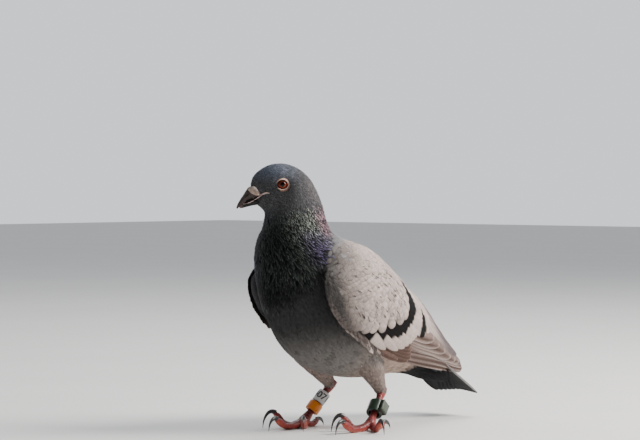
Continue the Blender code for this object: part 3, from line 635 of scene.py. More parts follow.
class PlumageSettings(PropertyGroup):
    coat_depth: size("Coat depth", "How far the skin lies inside the feathers", 0.0014)
    density: factor("Density", "Number of small feathers, against the usual number", 1.0)
    head: tint("Head", "Slate of the cheeks and throat", (0.072, 0.073, 0.077))
    # Partly a bluer slate, partly painted light falling on the top of the head
    crown: tint("Crown", "Bluer slate of the forehead and crown", (0.140, 0.160, 0.205))
    nape: tint("Nape", "Paler slate behind the crown", (0.120, 0.108, 0.112))
    neck: tint("Neck", "Blackish ground of the neck", (0.012, 0.013, 0.014))
    # The neck's iridescent sheen, painted into the colour of its feathers' tips
    neck_green: tint("Neck green", "Dim green of the neck's front", (0.100, 0.120, 0.105))
    neck_gloss: tint("Neck gloss", "Paler green gloss of the neck's side", (0.520, 0.590, 0.500))
    neck_purple: tint("Neck purple", "Purple gloss low on the neck", (0.240, 0.160, 0.420))
    neck_pink: tint("Neck pink", "Pink gloss of the nape", (0.800, 0.440, 0.560))
    # Partly the breast's own darker grey, partly painted shade of the breast turned from the light
    breast: tint("Breast", "Grey just below the dark neck", (0.033, 0.033, 0.034))
    belly: tint("Belly", "Grey of the belly", (0.180, 0.168, 0.160))
    # Partly a paler grey, partly painted warm light shining through from behind
    vent: tint("Vent", "Paler grey between the legs and the tail", (0.370, 0.280, 0.230))
    under_tail: tint("Under the tail", "Dark feathers from the vent to the tail", (0.012, 0.012, 0.013))
    thigh: tint("Thighs", "Warm pale grey of the thighs", (0.235, 0.188, 0.168))
    mantle: tint("Mantle", "Bluish grey between the shoulders", (0.250, 0.254, 0.275))
    rump: tint("Rump", "Pale rump", (0.330, 0.340, 0.360))
    shield: tint("Wing shield", "Pale warm grey of the wing coverts", (0.440, 0.365, 0.335))
    # Partly the bend's own darker coverts, mostly painted shade of the bend, which is turned away from the
    # light
    shield_front_and_shade: tint("Wing bend", "Darker warm grey at the wing's bend", (0.042, 0.040, 0.039))
    # Also painted as shade along the wing's lower front edge, at the coverts' rims and lower sides, and in
    # the chinks between them
    shield_edge_and_shade: tint("Wing edge", "Darker feathers along the wing's lower front edge", (0.100, 0.082, 0.076))
    bar: tint("Bars", "The two wing bars", (0.006, 0.0055, 0.0055))
    flight: tint("Flight feathers", "Brown grey of the primaries", (0.175, 0.128, 0.113))
    # Painted shadow under each next feather's edge, on the primaries' inner webs
    flight_shadow: tint("Flight shadow", "Dark brown of the primaries' inner webs", (0.060, 0.038, 0.030))
    flight_edge: tint("Flight edges", "Pale edges of the primaries", (0.420, 0.360, 0.330))
    tail: tint("Tail", "Slate of the tail's upper side", (0.150, 0.155, 0.170))
    # Also painted on the tail's underside, partly as shade
    tail_band_and_shade: tint("Tail band", "Blackish end and underside of the tail", (0.004, 0.004, 0.005))
    tail_edge: tint("Tail edge", "Pale outer web of the outermost tail feathers", (0.560, 0.540, 0.530))


class BareSettings(PropertyGroup):
    horn: tint("Horn", "Dark horn of the bill", (0.012, 0.011, 0.012))
    bill_side: tint("Bill sides", "Paler horn along the bill's cutting edges", (0.290, 0.205, 0.180))
    cere: tint("Cere", "Powdery white swellings over the nostrils", (0.960, 0.850, 0.800))
    gape: tint("Gape", "Fleshy rim of the mouth", (0.800, 0.580, 0.530))
    iris: tint("Iris", "Orange red of the iris", (0.190, 0.020, 0.009))
    # Also painted as the upper lid's shadow on the iris
    iris_rim_and_shade: tint("Iris rim", "Darker outer rim of the iris", (0.060, 0.008, 0.006))
    lid: tint("Eye ring", "Bare skin round the eye", (0.640, 0.400, 0.330))
    leg: tint("Legs", "Red of the legs and toes", (0.230, 0.012, 0.014))
    leg_top: tint("Toe tops", "Maroon of the scales on top", (0.075, 0.006, 0.010))
    leg_low: tint("Soles", "Orange red of the sides and soles", (0.380, 0.050, 0.024))
    scale_edge: tint("Scale edges", "Paler skin between the scales", (0.480, 0.150, 0.120))
    claw: tint("Claws", "Black of the claws", (0.012, 0.011, 0.011))
    ring_white: tint("White ring", "Leg ring with plain numbers", (0.720, 0.710, 0.700))
    ring_orange: tint("Orange ring", "Smooth orange leg ring", (0.800, 0.230, 0.008))
    ring_green: tint("Green ring", "Dark green housing of the timing chip", (0.008, 0.024, 0.014))
    # Also painted on the housing's ribs as their highlights
    ring_face_and_highlight: tint("Chip face", "Lighter green face of the chip's housing", (0.060, 0.078, 0.050))
    ring_number: StringProperty(name="Ring number", description="Plain number on the ring", default="4071")


class StageSettings(PropertyGroup):
    floor: tint("Floor", "Plain pale floor", (0.760, 0.760, 0.750))
    floor_size: size("Floor size", "Side of the floor", 12.0)
    key: light("Key light", "Soft light from above and behind", 24.0)
    fill: light("Fill light", "Soft light from the camera's side", 1.6)
    window: light("Window light", "Light from the side that shines in the eye", 34.0)
    sky: factor("Sky", "Even light from all round", 1.0)
    camera_away: size("Camera distance", "From the bird to the camera", 1.7)
    camera_height: size("Camera height", "Height of the level camera", 0.18)


# ---------------------------------------------------------------- materials


class Finish:
    """A node material built up from its Principled shader."""

    def __init__(self, name, roughness, **constants):
        self.material = bpy.data.materials.new(name)
        self.material.use_nodes = True
        self.tree = self.material.node_tree
        self.shader = self.tree.nodes["Principled BSDF"]
        self.set(self.shader, Roughness=roughness, **constants)

    def set(self, node, **values):
        for title, value in values.items():
            socket = node.inputs[int(title[1:]) if title[1:].isdigit() else title.replace("_", " ")]
            if isinstance(value, bpy.types.NodeSocket):
                self.tree.links.new(value, socket)
            else:
                socket.default_value = value
        return node

    def add(self, kind, props=None, **values):
        node = self.tree.nodes.new("ShaderNode" + kind)
        for title, value in (props or {}).items():
            setattr(node, title, value)
        return self.set(node, **values)

    def math(self, operation, first, second=0.0, third=0.0):
        return self.add("Math", {"operation": operation}, i0=first, i1=second, i2=third).outputs[0]

    def map(self, value, low, high, to_low=0.0, to_high=1.0):
        return self.add("MapRange", None, i0=value, i1=low, i2=high, i3=to_low, i4=to_high).outputs[0]

    def blend(self, share, first, second, kind="MIX"):
        node = self.add("Mix", {"data_type": "RGBA", "blend_type": kind, "clamp_factor": True})
        first, second = (v if isinstance(v, bpy.types.NodeSocket) else (*v, 1) for v in (first, second))
        return self.set(node, i0=share, i6=first, i7=second).outputs[2]

    def noise(self, scale, detail=3.0, vector=None):
        vector = vector or self.add("TexCoord").outputs["Object"]
        node = self.add("TexNoise", None, Vector=vector, Scale=scale, Detail=detail, Roughness=0.55)
        return node.outputs["Fac"]

    def cracks(self, scale):
        """How far it is to the edge of a net of small cells."""
        place = self.add("TexCoord").outputs["Object"]
        net = self.add("TexVoronoi", {"feature": "DISTANCE_TO_EDGE"}, Vector=place, Scale=scale)
        return net.outputs["Distance"]

    def uv(self, title):
        """The two numbers of a UV map."""
        return self.add("SeparateXYZ", None, Vector=self.add("UVMap", {"uv_map": title}).outputs[0]).outputs

    def marking(self, tone=None):
        """The piece's own markings, with any light and shade painted into them, times a tone."""
        colour = self.add("Attribute", {"attribute_name": "marking"}).outputs["Color"]
        if tone is None:
            return colour
        grey = self.add("CombineColor", None, i0=tone, i1=tone, i2=tone).outputs[0]
        return self.blend(1.0, colour, grey, "MULTIPLY")

    def done(self, colour, height=None, strength=0.0, distance=0.0):
        """Gives the shader its colour, and its relief where there is one."""
        self.set(self.shader, Base_Color=colour)
        if height:
            node = self.add("Bump", None, Height=height, Strength=strength, Distance=distance)
            self.set(self.shader, Normal=node.outputs["Normal"])
        return self


def plumage_finish(name, roughness, barbs, contrast, shaft, **constants):
    """Feathers in their own markings, with fine slanting barbs and a shaft down the middle."""
    finish = Finish(name, roughness, Specular_IOR_Level=0.06, **constants)
    across, along, _ = finish.uv("vane")
    across = finish.math("ABSOLUTE", finish.math("SUBTRACT", across, 0.5))
    slant = finish.math("SUBTRACT", along, finish.math("MULTIPLY", across, 0.55))
    mottle = finish.noise(420.0, 2.0)
    wave = finish.math("MULTIPLY_ADD", slant, barbs * 2 * math.pi, finish.math("MULTIPLY", mottle, 9.0))
    wave = finish.math("SINE", wave)
    middle = finish.map(across, 0.0, 0.035, 1.0, 0.0)
    tone = finish.map(wave, -1.0, 1.0, 1.0 - contrast, 1.0 + contrast * 0.6)
    tone = finish.math("MULTIPLY", tone, finish.map(mottle, 0.25, 0.75, 0.86, 1.14))
    tone = finish.math("MULTIPLY", tone, finish.map(middle, 0.0, 1.0, 1.0, shaft))
    height = finish.math("MULTIPLY_ADD", wave, 0.35, middle)
    return finish.done(finish.marking(tone), height, 0.45, 0.00008)


def skin_finish():
    """The down and skin under the feathers: soft and matt in the same markings."""
    finish = Finish("plumage_underlayer", 0.95, Specular_IOR_Level=0.1)
    fluff = finish.noise(1400.0, 4.0)
    return finish.done(finish.marking(finish.map(fluff, 0.3, 0.7, 0.55, 1.0)), fluff, 0.6, 0.0004)


# ---------------------------------------------------------------- skin

SKIN_VOXEL = 1.3 * MM
FLESH = ("head", "neck", "trunk", "thigh_left", "thigh_right", "wing_left", "wing_right")


def nearest_samples(points, samples):
    """For each point, how far the nearest of the samples is."""
    tree = KDTree(len(samples))
    for i, sample in enumerate(samples):
        tree.insert(sample, i)
    tree.balance()
    return np.array([tree.find(point)[2] for point in points])


def grid_of(surface, low, high, left, right, rows, columns):
    p, q = np.meshgrid(np.linspace(low, high, rows), np.linspace(left, right, columns), indexing="ij")
    return surface(p.ravel(), q.ravel())


def make_skin(tints):
    """One closed skin over head, neck, trunk, wings and thighs, inside the coat by its depth."""
    bm = bmesh.new()
    for node in FLESH:
        bm.from_mesh(frame["nodes"][node].data)
    bmesh.ops.remove_doubles(bm, verts=bm.verts, dist=1e-6)
    bm = fused(bm, SKIN_VOXEL, 5)
    points, normals = numbers_of(bm) - SHIFT, np.array([vert.normal for vert in bm.verts])
    forward, left, up = bird_terms(points)
    left = head_side(forward, left, up)
    outer = turned(place(forward, left, up))
    thin = 0.45 + 0.55 * ease(160, 140, up) * ease(34, 52, up)
    points = outer - normals * (tints.coat_depth * thin)[:, None]
    side = np.abs(points) * (1, 0, 0) + points * (0, 1, 1)
    wing = grid_of(wing_surface, 0, 13, 0, 1, 160, 70)
    winged = ease(5.5, 3.0, nearest_samples(side, wing) / MM)
    legs = [grid_of(thigh_surface(s), 0.35, 1, 0, 2 * math.pi, 40, 30) for s in LEG_POINTS]
    thighed = ease(6.0, 3.0, nearest_samples(points, np.concatenate(legs)) / MM) * ease(62, 46, up)
    colours = mix(body_marking_and_painted_light(forward, left, up, tints), tints.thigh, thighed)
    # Darker than the coat over it: partly the down's own grey, partly painted shade where it shows between
    # feathers and on the wings' inner faces
    colours = mix(colours, scaled(tints.mantle, 0.6), winged) * 0.8
    move_to(bm, points + SHIFT)
    mesh = mesh_of(bm, "skin")
    add_colours(mesh, colours)
    mesh.shade_smooth()
    finished("skin", mesh, skin_finish(), "plumage_grey", *FLESH)


# ---------------------------------------------------------------- small feathers


def rows_for(count, root, tip_from):
    """A vane's breadths from quill to tip, narrow at the root and elliptical past tip_from."""
    rows = []
    for k in range(count):
        along = 1 - (1 - k / (count - 1)) ** 1.35
        past = max(0.0, (along - tip_from) / (1 - tip_from))
        breadth = (root + (1 - root) * min(1.0, along / 0.42) ** 0.7) * math.sqrt(max(0.02, 1 - past**2))
        rows.append((along, 0.0 if k == 0 and root == 0 else breadth))
    return rows


# Each vane's rows, as how far along they lie and how broad they are, its columns, its camber and how
# far its tip is rounded. The thick ones have a thickness too, against their half width
TUFT = Vane(((0, 0), (0.35, 0.85), (0.75, 0.85), (1, 0)), 2, 0.3)
HACKLE = Vane(((0, 0), (0.3, 0.75), (0.65, 1.0), (0.9, 0.7), (1, 0.15)), 2, 0.28, 0.04)
CONTOUR = Vane(((0, 0), (0.35, 0.8), (0.7, 1.0), (0.92, 0.7), (1, 0.25)), 2, 0.2, 0.04)
COVERT = Vane(
    ((0, 0), (0.3, 0.75), (0.55, 0.97), (0.75, 1.0), (0.9, 0.8), (0.97, 0.5), (1, 0.25)), 4, 0.1, 0.015
)
BARRED = Vane(rows_for(26, 0.0, 0.62), 6, 0.07, 0.008)
FLIGHT = Vane(rows_for(30, 0.3, 0.72), 8, 0.05, 0.004, 0.03)


OVER_TRUNK = ("wing_left", "wing_right", "primaries_left", "primaries_right", "tail")


def open_sky(points, normals, tree, reach):
    """Which roots nothing of the tree covers, with what lies just inside its edges kept too."""
    kept = np.ones(len(points), bool)
    nudges = [Vector(n) * 8 * MM for n in ((0, 0, -1), (0, -1, 0), (0, 1, 0), (1, 0, 0), (-1, 0, 0))]
    for i, (point, normal) in enumerate(zip(points, normals)):
        start, way = Vector(point), Vector(normal)
        if tree.ray_cast(start + way * 0.2 * MM, way, reach)[0] is None:
            continue
        starts = [start + nudge - way * nudge.dot(way) for nudge in nudges]
        kept[i] = any(tree.ray_cast(s + way * 0.2 * MM, way, reach)[0] is None for s in starts)
    return kept


def node_tree(*nodes):
    """The frame's nodes as one searchable shape in the tables' own place."""
    bm = bmesh.new()
    for node in nodes:
        bm.from_mesh(frame["nodes"][node].data)
    bmesh.ops.translate(bm, verts=bm.verts, vec=-Vector(SHIFT))
    tree = BVHTree.FromBMesh(bm)
    bm.free()
    return tree


def neck_height(points):
    """Bird terms of points, with how far each stands above the head's and above the neck's edge."""
    forward, left, up = bird_terms(points)
    above_neck = up - read(NECK_EDGE, neck_angle(forward, left))
    return forward, left, up, up + 0.2 * (forward - 30) - 156, above_neck


def bare_face(forward, up):
    """1 where the face has feathers, and 0 round the eye, at the bill and along the gape."""
    eye = np.hypot(forward - EYE_FORWARD, up - EYE_UP)
    margin = np.interp(up, (161, 164.5, 167.7, 170.5, 174), (54.4, 52.6, 51.2, 54.0, 58.4))
    return (eye > 5.0) * (forward < margin + 0.2)


def body_feathers(name, zone, vane, sizes, strips, tints, seed, span, tone, finish, depth, lift, gradient,
                  ragged=0.1, slot="plumage_grey", tree=None, colour=body_marking_and_painted_light, tip_from=0.0, gloss=None):
    """Feathers over a zone of the body. sizes gives length and half width in millimetres and overlap."""
    rng = np.random.default_rng(seed)

    def density(points):
        length, half, overlap = sizes(*bird_terms(points))
        return zone(points) * overlap * tints.density / (length * 2 * half)

    p, q = scatter(body_surface, 1, *span, strips, density, seed)
    if tree is not None:
        kept = open_sky(body_surface(p, q), tangents(body_surface, p, q, 1)[2], tree, 26 * MM)
        p, q = p[kept], q[kept]
    n = len(p)
    terms = bird_terms(body_surface(p, q))
    length, half, _ = sizes(*terms)
    length = length * varied(rng, n, 0.2, 0.6, 1.5)
    half = half * varied(rng, n, 0.15, 0.6, 1.4)
    tips = tips_from(body_surface, 1, p, q, ragged * rng.standard_normal(n), length)
    raised = lift * varied(rng, n, 0.8, 0.0, 3.0)
    # Painted shade along each vane: darker at the root, where its neighbours overlap it, lighter at the tip
    shade = gradient[0] + (gradient[1] - gradient[0]) * ease(tip_from, 1.0, vane.along)
    colours = shaded(toned(colour(*terms, tints), rng, tone), shade)
    # Painted sheen: the gloss brightens the feathers' tips
    if gloss:
        gleam, share = gloss(*terms, tints)
        share = share * rng.random(n) ** 1.3
        at_tip = ease(0.45, 0.85, vane.along) * ease(1.0, 0.2, np.abs(vane.across))
        colours = mix(colours, gleam[:, None], share[:, None] * at_tip[None])
    patches = (q / (2 * math.pi)) % 1, (p - span[0]) / (span[1] - span[0]), 0.003
    coat = Coat()
    coat.lay(vane, body_surface, 1, (p, q), (np.minimum(tips[0], 24.9), tips[1]), (half, depth, raised),
             colours, patches, 0.6)
    coat.build(name, finish, slot)


def make_head_feathers(tints):
    def zone(points):
        forward, _, up, above_head, _ = neck_height(points)
        return ease(-3, 1, above_head) * bare_face(forward, up)

    def sizes(forward, left, up):
        near = ease(26, 54, forward + 0.3 * (up - 165))
        near = np.maximum(near, ease(12, 5.5, np.hypot(forward - EYE_FORWARD, up - EYE_UP)))
        return 2.9 - 1.4 * near, 0.46 - 0.20 * near, 4.4

    finish = plumage_finish("head_plumage", 0.62, 6.0, 0.16, 0.75)
    body_feathers("head_feathers", zone, TUFT, sizes, 190, tints, 11, (0.12, 10.5), 0.22, finish, 0.5, 0.07,
                  (0.50, 1.30), slot="plumage_slate")


def make_neck_hackles(tints):
    def zone(points):
        _, _, _, above_head, above_neck = neck_height(points)
        return ease(6, -2, above_head) * ease(-6, 2, above_neck)

    def sizes(forward, left, up):
        high = ease(118, 158, up)
        return 6.4 - 2.8 * high, 0.66 - 0.16 * high, 4.6

    finish = plumage_finish("neck_plumage", 0.40, 8.0, 0.15, 1.15, Metallic=0.2)
    body_feathers("neck_hackles", zone, HACKLE, sizes, 130, tints, 12, (5.0, 17.5), 0.30, finish, 1.2, 0.22,
                  (0.4, 1.2), 0.16, "plumage_neck", tip_from=0.35, gloss=neck_gloss)


def is_back(forward, up):
    """1 on the back and rump, and 0 below the line where the wings lie."""
    return ease(-4, 6, up - 112 - (forward - 20) * 0.48) * ease(24, 6, forward)


def make_underside_feathers(tints):
    """The breast, belly, flanks and vent."""
    def zone(points):
        forward, left, up, _, above_neck = neck_height(points)
        behind_wing = (forward < -88) & (up > 37) & (np.abs(left) > 7)
        return ease(5, -4, above_neck) * (1 - is_back(forward, up)) * ~behind_wing

    def sizes(forward, left, up):
        rear = ease(20, -90, forward)
        return 6.4 + 3.2 * rear, 0.80 + 0.6 * rear, 4.4

    def colour(forward, left, up, tints):
        spots = np.array([noise.noise(Vector((a * 0.22, b * 0.22, c * 0.10)))
                          for a, b, c in zip(forward, left, up)])
        slanted = up + 0.35 * (40 - forward)
        band = ease(50, 62, slanted) * ease(92, 74, slanted)
        return body_marking_and_painted_light(forward, left, up, tints) * (1 - 0.30 * band * ease(0.12, 0.42, spots))[:, None]

    finish = plumage_finish("underside_plumage", 0.8, 10.0, 0.08, 0.9)
    body_feathers("underside_feathers", zone, CONTOUR, sizes, 130, tints, 13, (8.5, 23.8), 0.06, finish,
                  1.2, 0.07, (0.80, 1.08), 0.12, tree=node_tree(*OVER_TRUNK), colour=colour)


def make_back_feathers(tints):
    """The mantle between the wings, the back and the rump."""
    def zone(points):
        forward, _, up, _, above_neck = neck_height(points)
        return ease(5, -3, above_neck) * is_back(forward, up)

    def sizes(forward, left, up):
        rear = ease(0, -70, forward)
        return 6.5 + 4.0 * rear, 1.7 + 0.9 * rear, 5.0

    finish = plumage_finish("back_plumage", 0.75, 16.0, 0.1, 0.85)
    body_feathers("back_feathers", zone, COVERT, sizes, 70, tints, 14, (10.0, 24.0), 0.07, finish,
                  1.2, 0.2, (0.6, 1.1), tree=node_tree(*OVER_TRUNK))


# The envelope's samples along the stations and across in centimetres, from, to and how many, and its way out
ENVELOPE, ENVELOPE_OUT = ((-1.2, 7.2, 85), (-3.0, 2.2, 53)), np.array((0.72, 0.10, 0.69))


def make_envelope():
    """The outside of wing, back and neck round the wing's upper edge, as one smooth surface.

    It runs along the wing's stations, and across in centimetres from its upper edge to the back."""
    tree = node_tree("wing_left", "trunk", "neck")

    def flat(along, across):
        lower, chord, outward, bulge = wing_chord(along)
        share = 1 + across * 10 * MM / np.maximum(np.linalg.norm(chord, axis=-1), 8 * MM)
        lift = bulge * np.sin(np.pi * np.clip(share, 0, 1)) ** 0.8
        return lower + chord * share[..., None] + outward * lift[..., None]

    (start, end, rows), (left, right, columns) = ENVELOPE
    p, q = np.meshgrid(np.linspace(start, end, rows), np.linspace(left, right, columns), indexing="ij")
    points, reach = flat(p, q), 50 * MM
    heights = np.zeros(p.shape)
    for at in np.ndindex(p.shape):
        hit = tree.ray_cast(Vector(points[at] + ENVELOPE_OUT * reach), -Vector(ENVELOPE_OUT))
        heights[at] = reach - hit[3] if hit[0] is not None else np.nan
    heights = np.where(np.isnan(heights), np.nanmin(heights), heights)
    for _ in range(3):
        padded = np.pad(heights, 1, "edge")
        smooth = sum(padded[i:i + rows, j:j + columns] for i in range(3) for j in range(3)) / 9
        heights = np.maximum(smooth, 0.5 * smooth + 0.5 * heights)

    def surface(along, across):
        i = np.clip((along - start) / (end - start) * (rows - 1), 0, rows - 1.001)
        j = np.clip((across - left) / (right - left) * (columns - 1), 0, columns - 1.001)
        a, b = i.astype(int), j.astype(int)
        s, t = i - a, j - b
        near = heights[a, b] * (1 - t) + heights[a, b + 1] * t
        far = heights[a + 1, b] * (1 - t) + heights[a + 1, b + 1] * t
        return flat(along, across) + ENVELOPE_OUT * (near * (1 - s) + far * s)[..., None]

    return surface


def make_shoulder_feathers(tints):
    """The scapulars, which lie over the seam between the back and the wings."""
    rng = np.random.default_rng(31)
    surface = make_envelope()
    p, q = scatter(surface, -1, 0.6, 7.0, 60, lambda points: 5.5 * tints.density / (9.0 * 2 * 2.0), 61, 200,
                   (-2.2, 1.9))
    low = -0.6 - 1.5 * ease(0.8, 2.6, p) + 1.4 * ease(4.0, 5.6, p)
    kept = (q > low + 0.15 * rng.standard_normal(len(q))) & (q < 2.2 * ease(0.2, 2.4, p) - 0.2)
    above_neck = neck_height(surface(p, q))[4]
    kept = kept & (surface(p, q)[:, 0] > MM) & (above_neck < -3.0 + 4.0 * ease(2.0, 3.2, p))
    p, q = p[kept], q[kept]
    n = len(p)
    far = ease(0, 5, p)
    length = (6.0 + 6.5 * far) * varied(rng, n, 0.12)
    tips = tips_from(surface, -1, p, q, 0.10 * rng.standard_normal(n) - 0.12, length)
    half = (1.3 + 1.4 * far) * varied(rng, n, 0.1)
    lift = 0.95 + 0.25 * rng.random(n)
    blue = ease(0.1, 0.9, q) * ease(3.4, 2.4, p)
    ground = mix(tints.shield, tints.mantle, blue)
    # Painted shade of the wing's bend on the front scapulars
    ground = mix(ground, np.array(tints.shield_front_and_shade) * 2.0, ease(4.3, 0.9, p) * (1 - 0.4 * blue))
    # Painted shade at each feather's rim and towards its root, where its neighbours overlap it
    rim = np.maximum(np.abs(COVERT.across), (COVERT.along - 0.55) / 0.45)
    shade = (1 - 0.35 * ease(0.78, 1.0, rim)) * (0.35 + 0.65 * ease(0.3, 0.62, COVERT.along))
    coat = Coat()
    coat.lay(COVERT, surface, -1, (p, q), tips, (half, 0.2, lift), shaded(toned(ground, rng, 0.08), shade),
             (0.36 + 0.05 * q, ((p + 1) / 14) % 1, 0.003), 0.7)
    finish = plumage_finish("shoulder_plumage", 0.72, 22.0, 0.06, 0.86)
    coat.build_pair("shoulder_feathers", finish, "wing_grey")


def make_thigh_feathers(tints):
    finish = plumage_finish("thigh_plumage", 0.82, 8.0, 0.08, 0.9)
    tree = node_tree("trunk", "wing_left", "wing_right")

    def density(points):
        return 5.0 * tints.density / (4.6 * 1.3) * ease(62, 50, points[..., 2] / MM)

    for seed, side in enumerate(LEG_POINTS):
        surface = thigh_surface(side)
        rng = np.random.default_rng(40 + seed)
        p, q = scatter(surface, 1, 0.1, 0.98, 60, density, 50 + seed)
        outward = tangents(surface, p, q, 1)[2]
        axis = surface(p, q) - surface(p, q + math.pi)
        facing = 1 if ((outward * axis).sum(-1) > 0).mean() > 0.5 else -1
        kept = open_sky(surface(p, q), outward * facing, tree, 20 * MM)
        p, q = p[kept], q[kept]
        n = len(p)
        low = ease(0.55, 1.0, p)
        length = (5.4 - 2.8 * low) * varied(rng, n, 0.2, 0.6, 1.5)
        tips = tips_from(surface, facing, p, q, 0.16 * rng.standard_normal(n), length)
        tips = np.minimum(tips[0], 1.03 + 0.03 * rng.random(n)), tips[1]
        lift = 0.35 * (0.5 + rng.random(n))
        ground = mix(tints.thigh, tints.belly, ease(44, 58, surface(p, q)[:, 2] / MM))
        ground = mix(ground, (0.2, 0.15, 0.14), 0.6 * ease(0.8, 1.0, p) * (rng.random(n) < 0.35))
        # Painted shade towards each feather's root, where its neighbours overlap it
        colours = shaded(toned(ground, rng, 0.14), 0.65 + 0.45 * HACKLE.along)
        coat = Coat()
        coat.lay(HACKLE, surface, facing, (p, q), tips, (0.75 - 0.3 * low, 0.9, lift), colours,
                 ((q / (2 * math.pi)) % 1, p, 0.003), 0.6)
        coat.build("thigh_feathers_" + side, finish, "plumage_grey")


# ---------------------------------------------------------------- wing coverts


def chord_places(along, spacing, offset, low, high):
    """Shares across the wing at even distances, in millimetres, along its curved chord."""
    shares = np.linspace(low, high, 200)
    points = wing_surface(np.full(200, along), shares)
    run = np.concatenate([[0], np.cumsum(np.linalg.norm(np.diff(points, axis=0), axis=1))]) / MM
    return np.interp(np.arange(offset * spacing, run[-1], spacing), run, shares)


def wing_patches(places, size=0.003):
    """The places on the unwrap of feathers at (along, share) of the wing."""
    return places[0] / 13.0, 0.02 + 0.96 * np.clip(places[1], 0, 1), size


def down_lean(shares):
    """How far the feathers of the folded wing lean towards its lower edge, in radians."""
    return -0.05 - 0.42 * ease(0.50, 0.06, shares)


def make_wing_coverts(tints):
    """The rows of small coverts from the wing's bend to its first bar."""
    rng = np.random.default_rng(21)
    coat = Coat()
    last = WING_ROWS[-2][1]
    reach, row = 0.25, 0
    while reach < last + 0.01:
        grown = reach / last
        spacing = 1.45 + 5.15 * grown**0.95
        vane = HACKLE if grown < 0.40 else COVERT
        shares = chord_places(min(reach, 6.8), spacing, 0.5 * (row % 2), 0.0, 0.92)
        n = len(shares)
        shares = shares + 0.004 * rng.standard_normal(n)
        narrow = read(WING_ROWS, shares) / last
        places = reach * narrow + 0.025 * rng.standard_normal(n)
        lean = 0.07 * rng.standard_normal(n) + down_lean(shares) * grown
        lean = lean - (0.60 + 0.45 * ease(0.15, 0.6, shares)) * ease(0.70, 0.20, grown)
        length = (6.2 + 8.0 * grown) * (0.60 + 0.40 * narrow) * varied(rng, n, 0.08)
        roots = tips_from(wing_surface, -1, places, shares, lean, -length)
        roots = np.maximum(roots[0], -0.1), np.clip(roots[1], -0.02, 1.02)
        half = 0.58 * spacing * (0.45 + 0.55 * narrow) * varied(rng, n, 0.10)
        half = half * (1 + 0.42 * ease(0.70, 0.95, grown))
        lift = (0.14 + 0.26 * grown) * (0.5 + 1.0 * rng.random(n))
        ground = wing_marking_and_shade(places, shares, tints)
        ground = toned(ground, rng, 0.30 - 0.22 * ease(0.1, 0.6, grown))
        # Painted shade: darker at each covert's rim, on its side towards the wing's lower edge, away from the
        # light, and towards its root under the next row; the rim is partly a darker fringe
        rim = np.maximum(np.abs(vane.across), (vane.along - 0.55) / 0.45)
        low_side = ease(0.0, 1.0, vane.across) * (0.75 - 0.45 * grown)
        edge = np.maximum(0.62 * ease(0.80, 1.0, rim), low_side) * (0.5 + 0.6 * rng.random((n, 1)))
        dark = np.minimum(tints.shield_edge_and_shade, 0.4 * ground)[:, None]
        colours = mix(ground[:, None], dark, edge) * (0.30 + 0.70 * ease(0.30, 0.62, vane.along))[:, None]
        coat.lay(vane, wing_surface, -1, roots, (places, shares), (half, 0.8 + 0.5 * grown, lift), colours,
                 wing_patches((places, shares)), 0.8)
        ahead = tangents(wing_surface, np.array([reach]), np.array([0.5]), -1)[0]
        reach += (1.9 + 2.4 * grown) * MM / float(length_of(ahead)[0, 0])
        row += 1
    lay_ticks(coat, tints, rng)
    finish = plumage_finish("wing_plumage", 0.72, 22.0, 0.06, 0.86)
    coat.build_pair("wing_coverts", finish, "wing_grey")


def lay_ticks(coat, tints, rng):
    """The short dark chinks that show here and there between the coverts: dark vanes painted as the shade and
    darker down seen in the gaps.
    """
    n = 85
    shares = 0.16 + 0.66 * rng.random(n)
    tips = (0.46 + 0.51 * rng.random(n) ** 0.8) * read(WING_ROWS, shares), shares
    length = 2.4 + 3.4 * rng.random(n) ** 2
    roots = tips_from(wing_surface, -1, *tips, down_lean(shares) - 0.25, -length)
    half = 0.22 + 0.14 * rng.random(n)
    raised = 0.60 + 0.15 * rng.random(n)
    dark = mix(tints.shield_edge_and_shade, tints.bar, 0.6 * rng.random(n))
    coat.lay(HACKLE, wing_surface, -1, roots, tips, (half, -raised, raised), dark[:, None] * 0.8,
             wing_patches(tips), 0.6)


def make_edge_feathers(tints):
    """The loose dark and pale feathers under the wing's lower front edge."""
    rng = np.random.default_rng(22)
    n = 70
    along = np.sort(3.2 + 2.5 * rng.random(n))
    tips = along, -0.035 + 0.05 * rng.random(n)
    lean = -0.42 + 0.10 * rng.standard_normal(n)
    roots = tips_from(wing_surface, -1, *tips, lean, -(8.0 + 3.0 * rng.random(n)))
    roots = np.maximum(roots[0], 0.4), np.clip(roots[1], 0.0, 0.4)
    half = 0.8 + 0.5 * rng.random(n)
    pale = (np.arange(n) % 3 == 0) * ease(4.5, 4.9, along) * ease(5.7, 5.4, along)
    ground = toned(mix(tints.shield_edge_and_shade, tints.shield, pale), rng, 0.2)
    coat = Coat()
    # Painted shade towards each feather's root, where its neighbours overlap it
    coat.lay(HACKLE, wing_surface, -1, roots, tips, (half, 1.4, 0.05 - 0.20 * (along - 3.2)),
             shaded(ground, 0.6 + 0.5 * HACKLE.along), wing_patches(tips), 0.7)
    finish = plumage_finish("wing_edge_plumage", 0.75, 8.0, 0.08, 0.86)
    coat.build_pair("wing_edge_feathers", finish, "wing_grey")


def laid_blades(coat, vane, blades, colours, depth, drop, patch, sweep=0.0, rise=0.8):
    """Lays large feathers on the wing, each (tip along, tip share, root along, root share, half width)."""
    along, share, root_along, root_share, half = np.array(blades).T
    coat.lay(vane, wing_surface, -1, (root_along, root_share), (along, share),
             (half, depth, 0.25 - drop * np.arange(len(half))), colours, wing_patches((along, share), patch),
             rise, sweep)


# The inner secondaries that carry the second bar: share, and where their tips and the bar's middle lie
SECOND_BAR_TIPS = ((0.33, 8.02), (0.40, 8.38), (0.47, 8.56), (0.54, 8.60), (0.61, 8.60), (0.68, 8.62),
                   (0.75, 8.64), (0.82, 8.66), (0.89, 8.66))

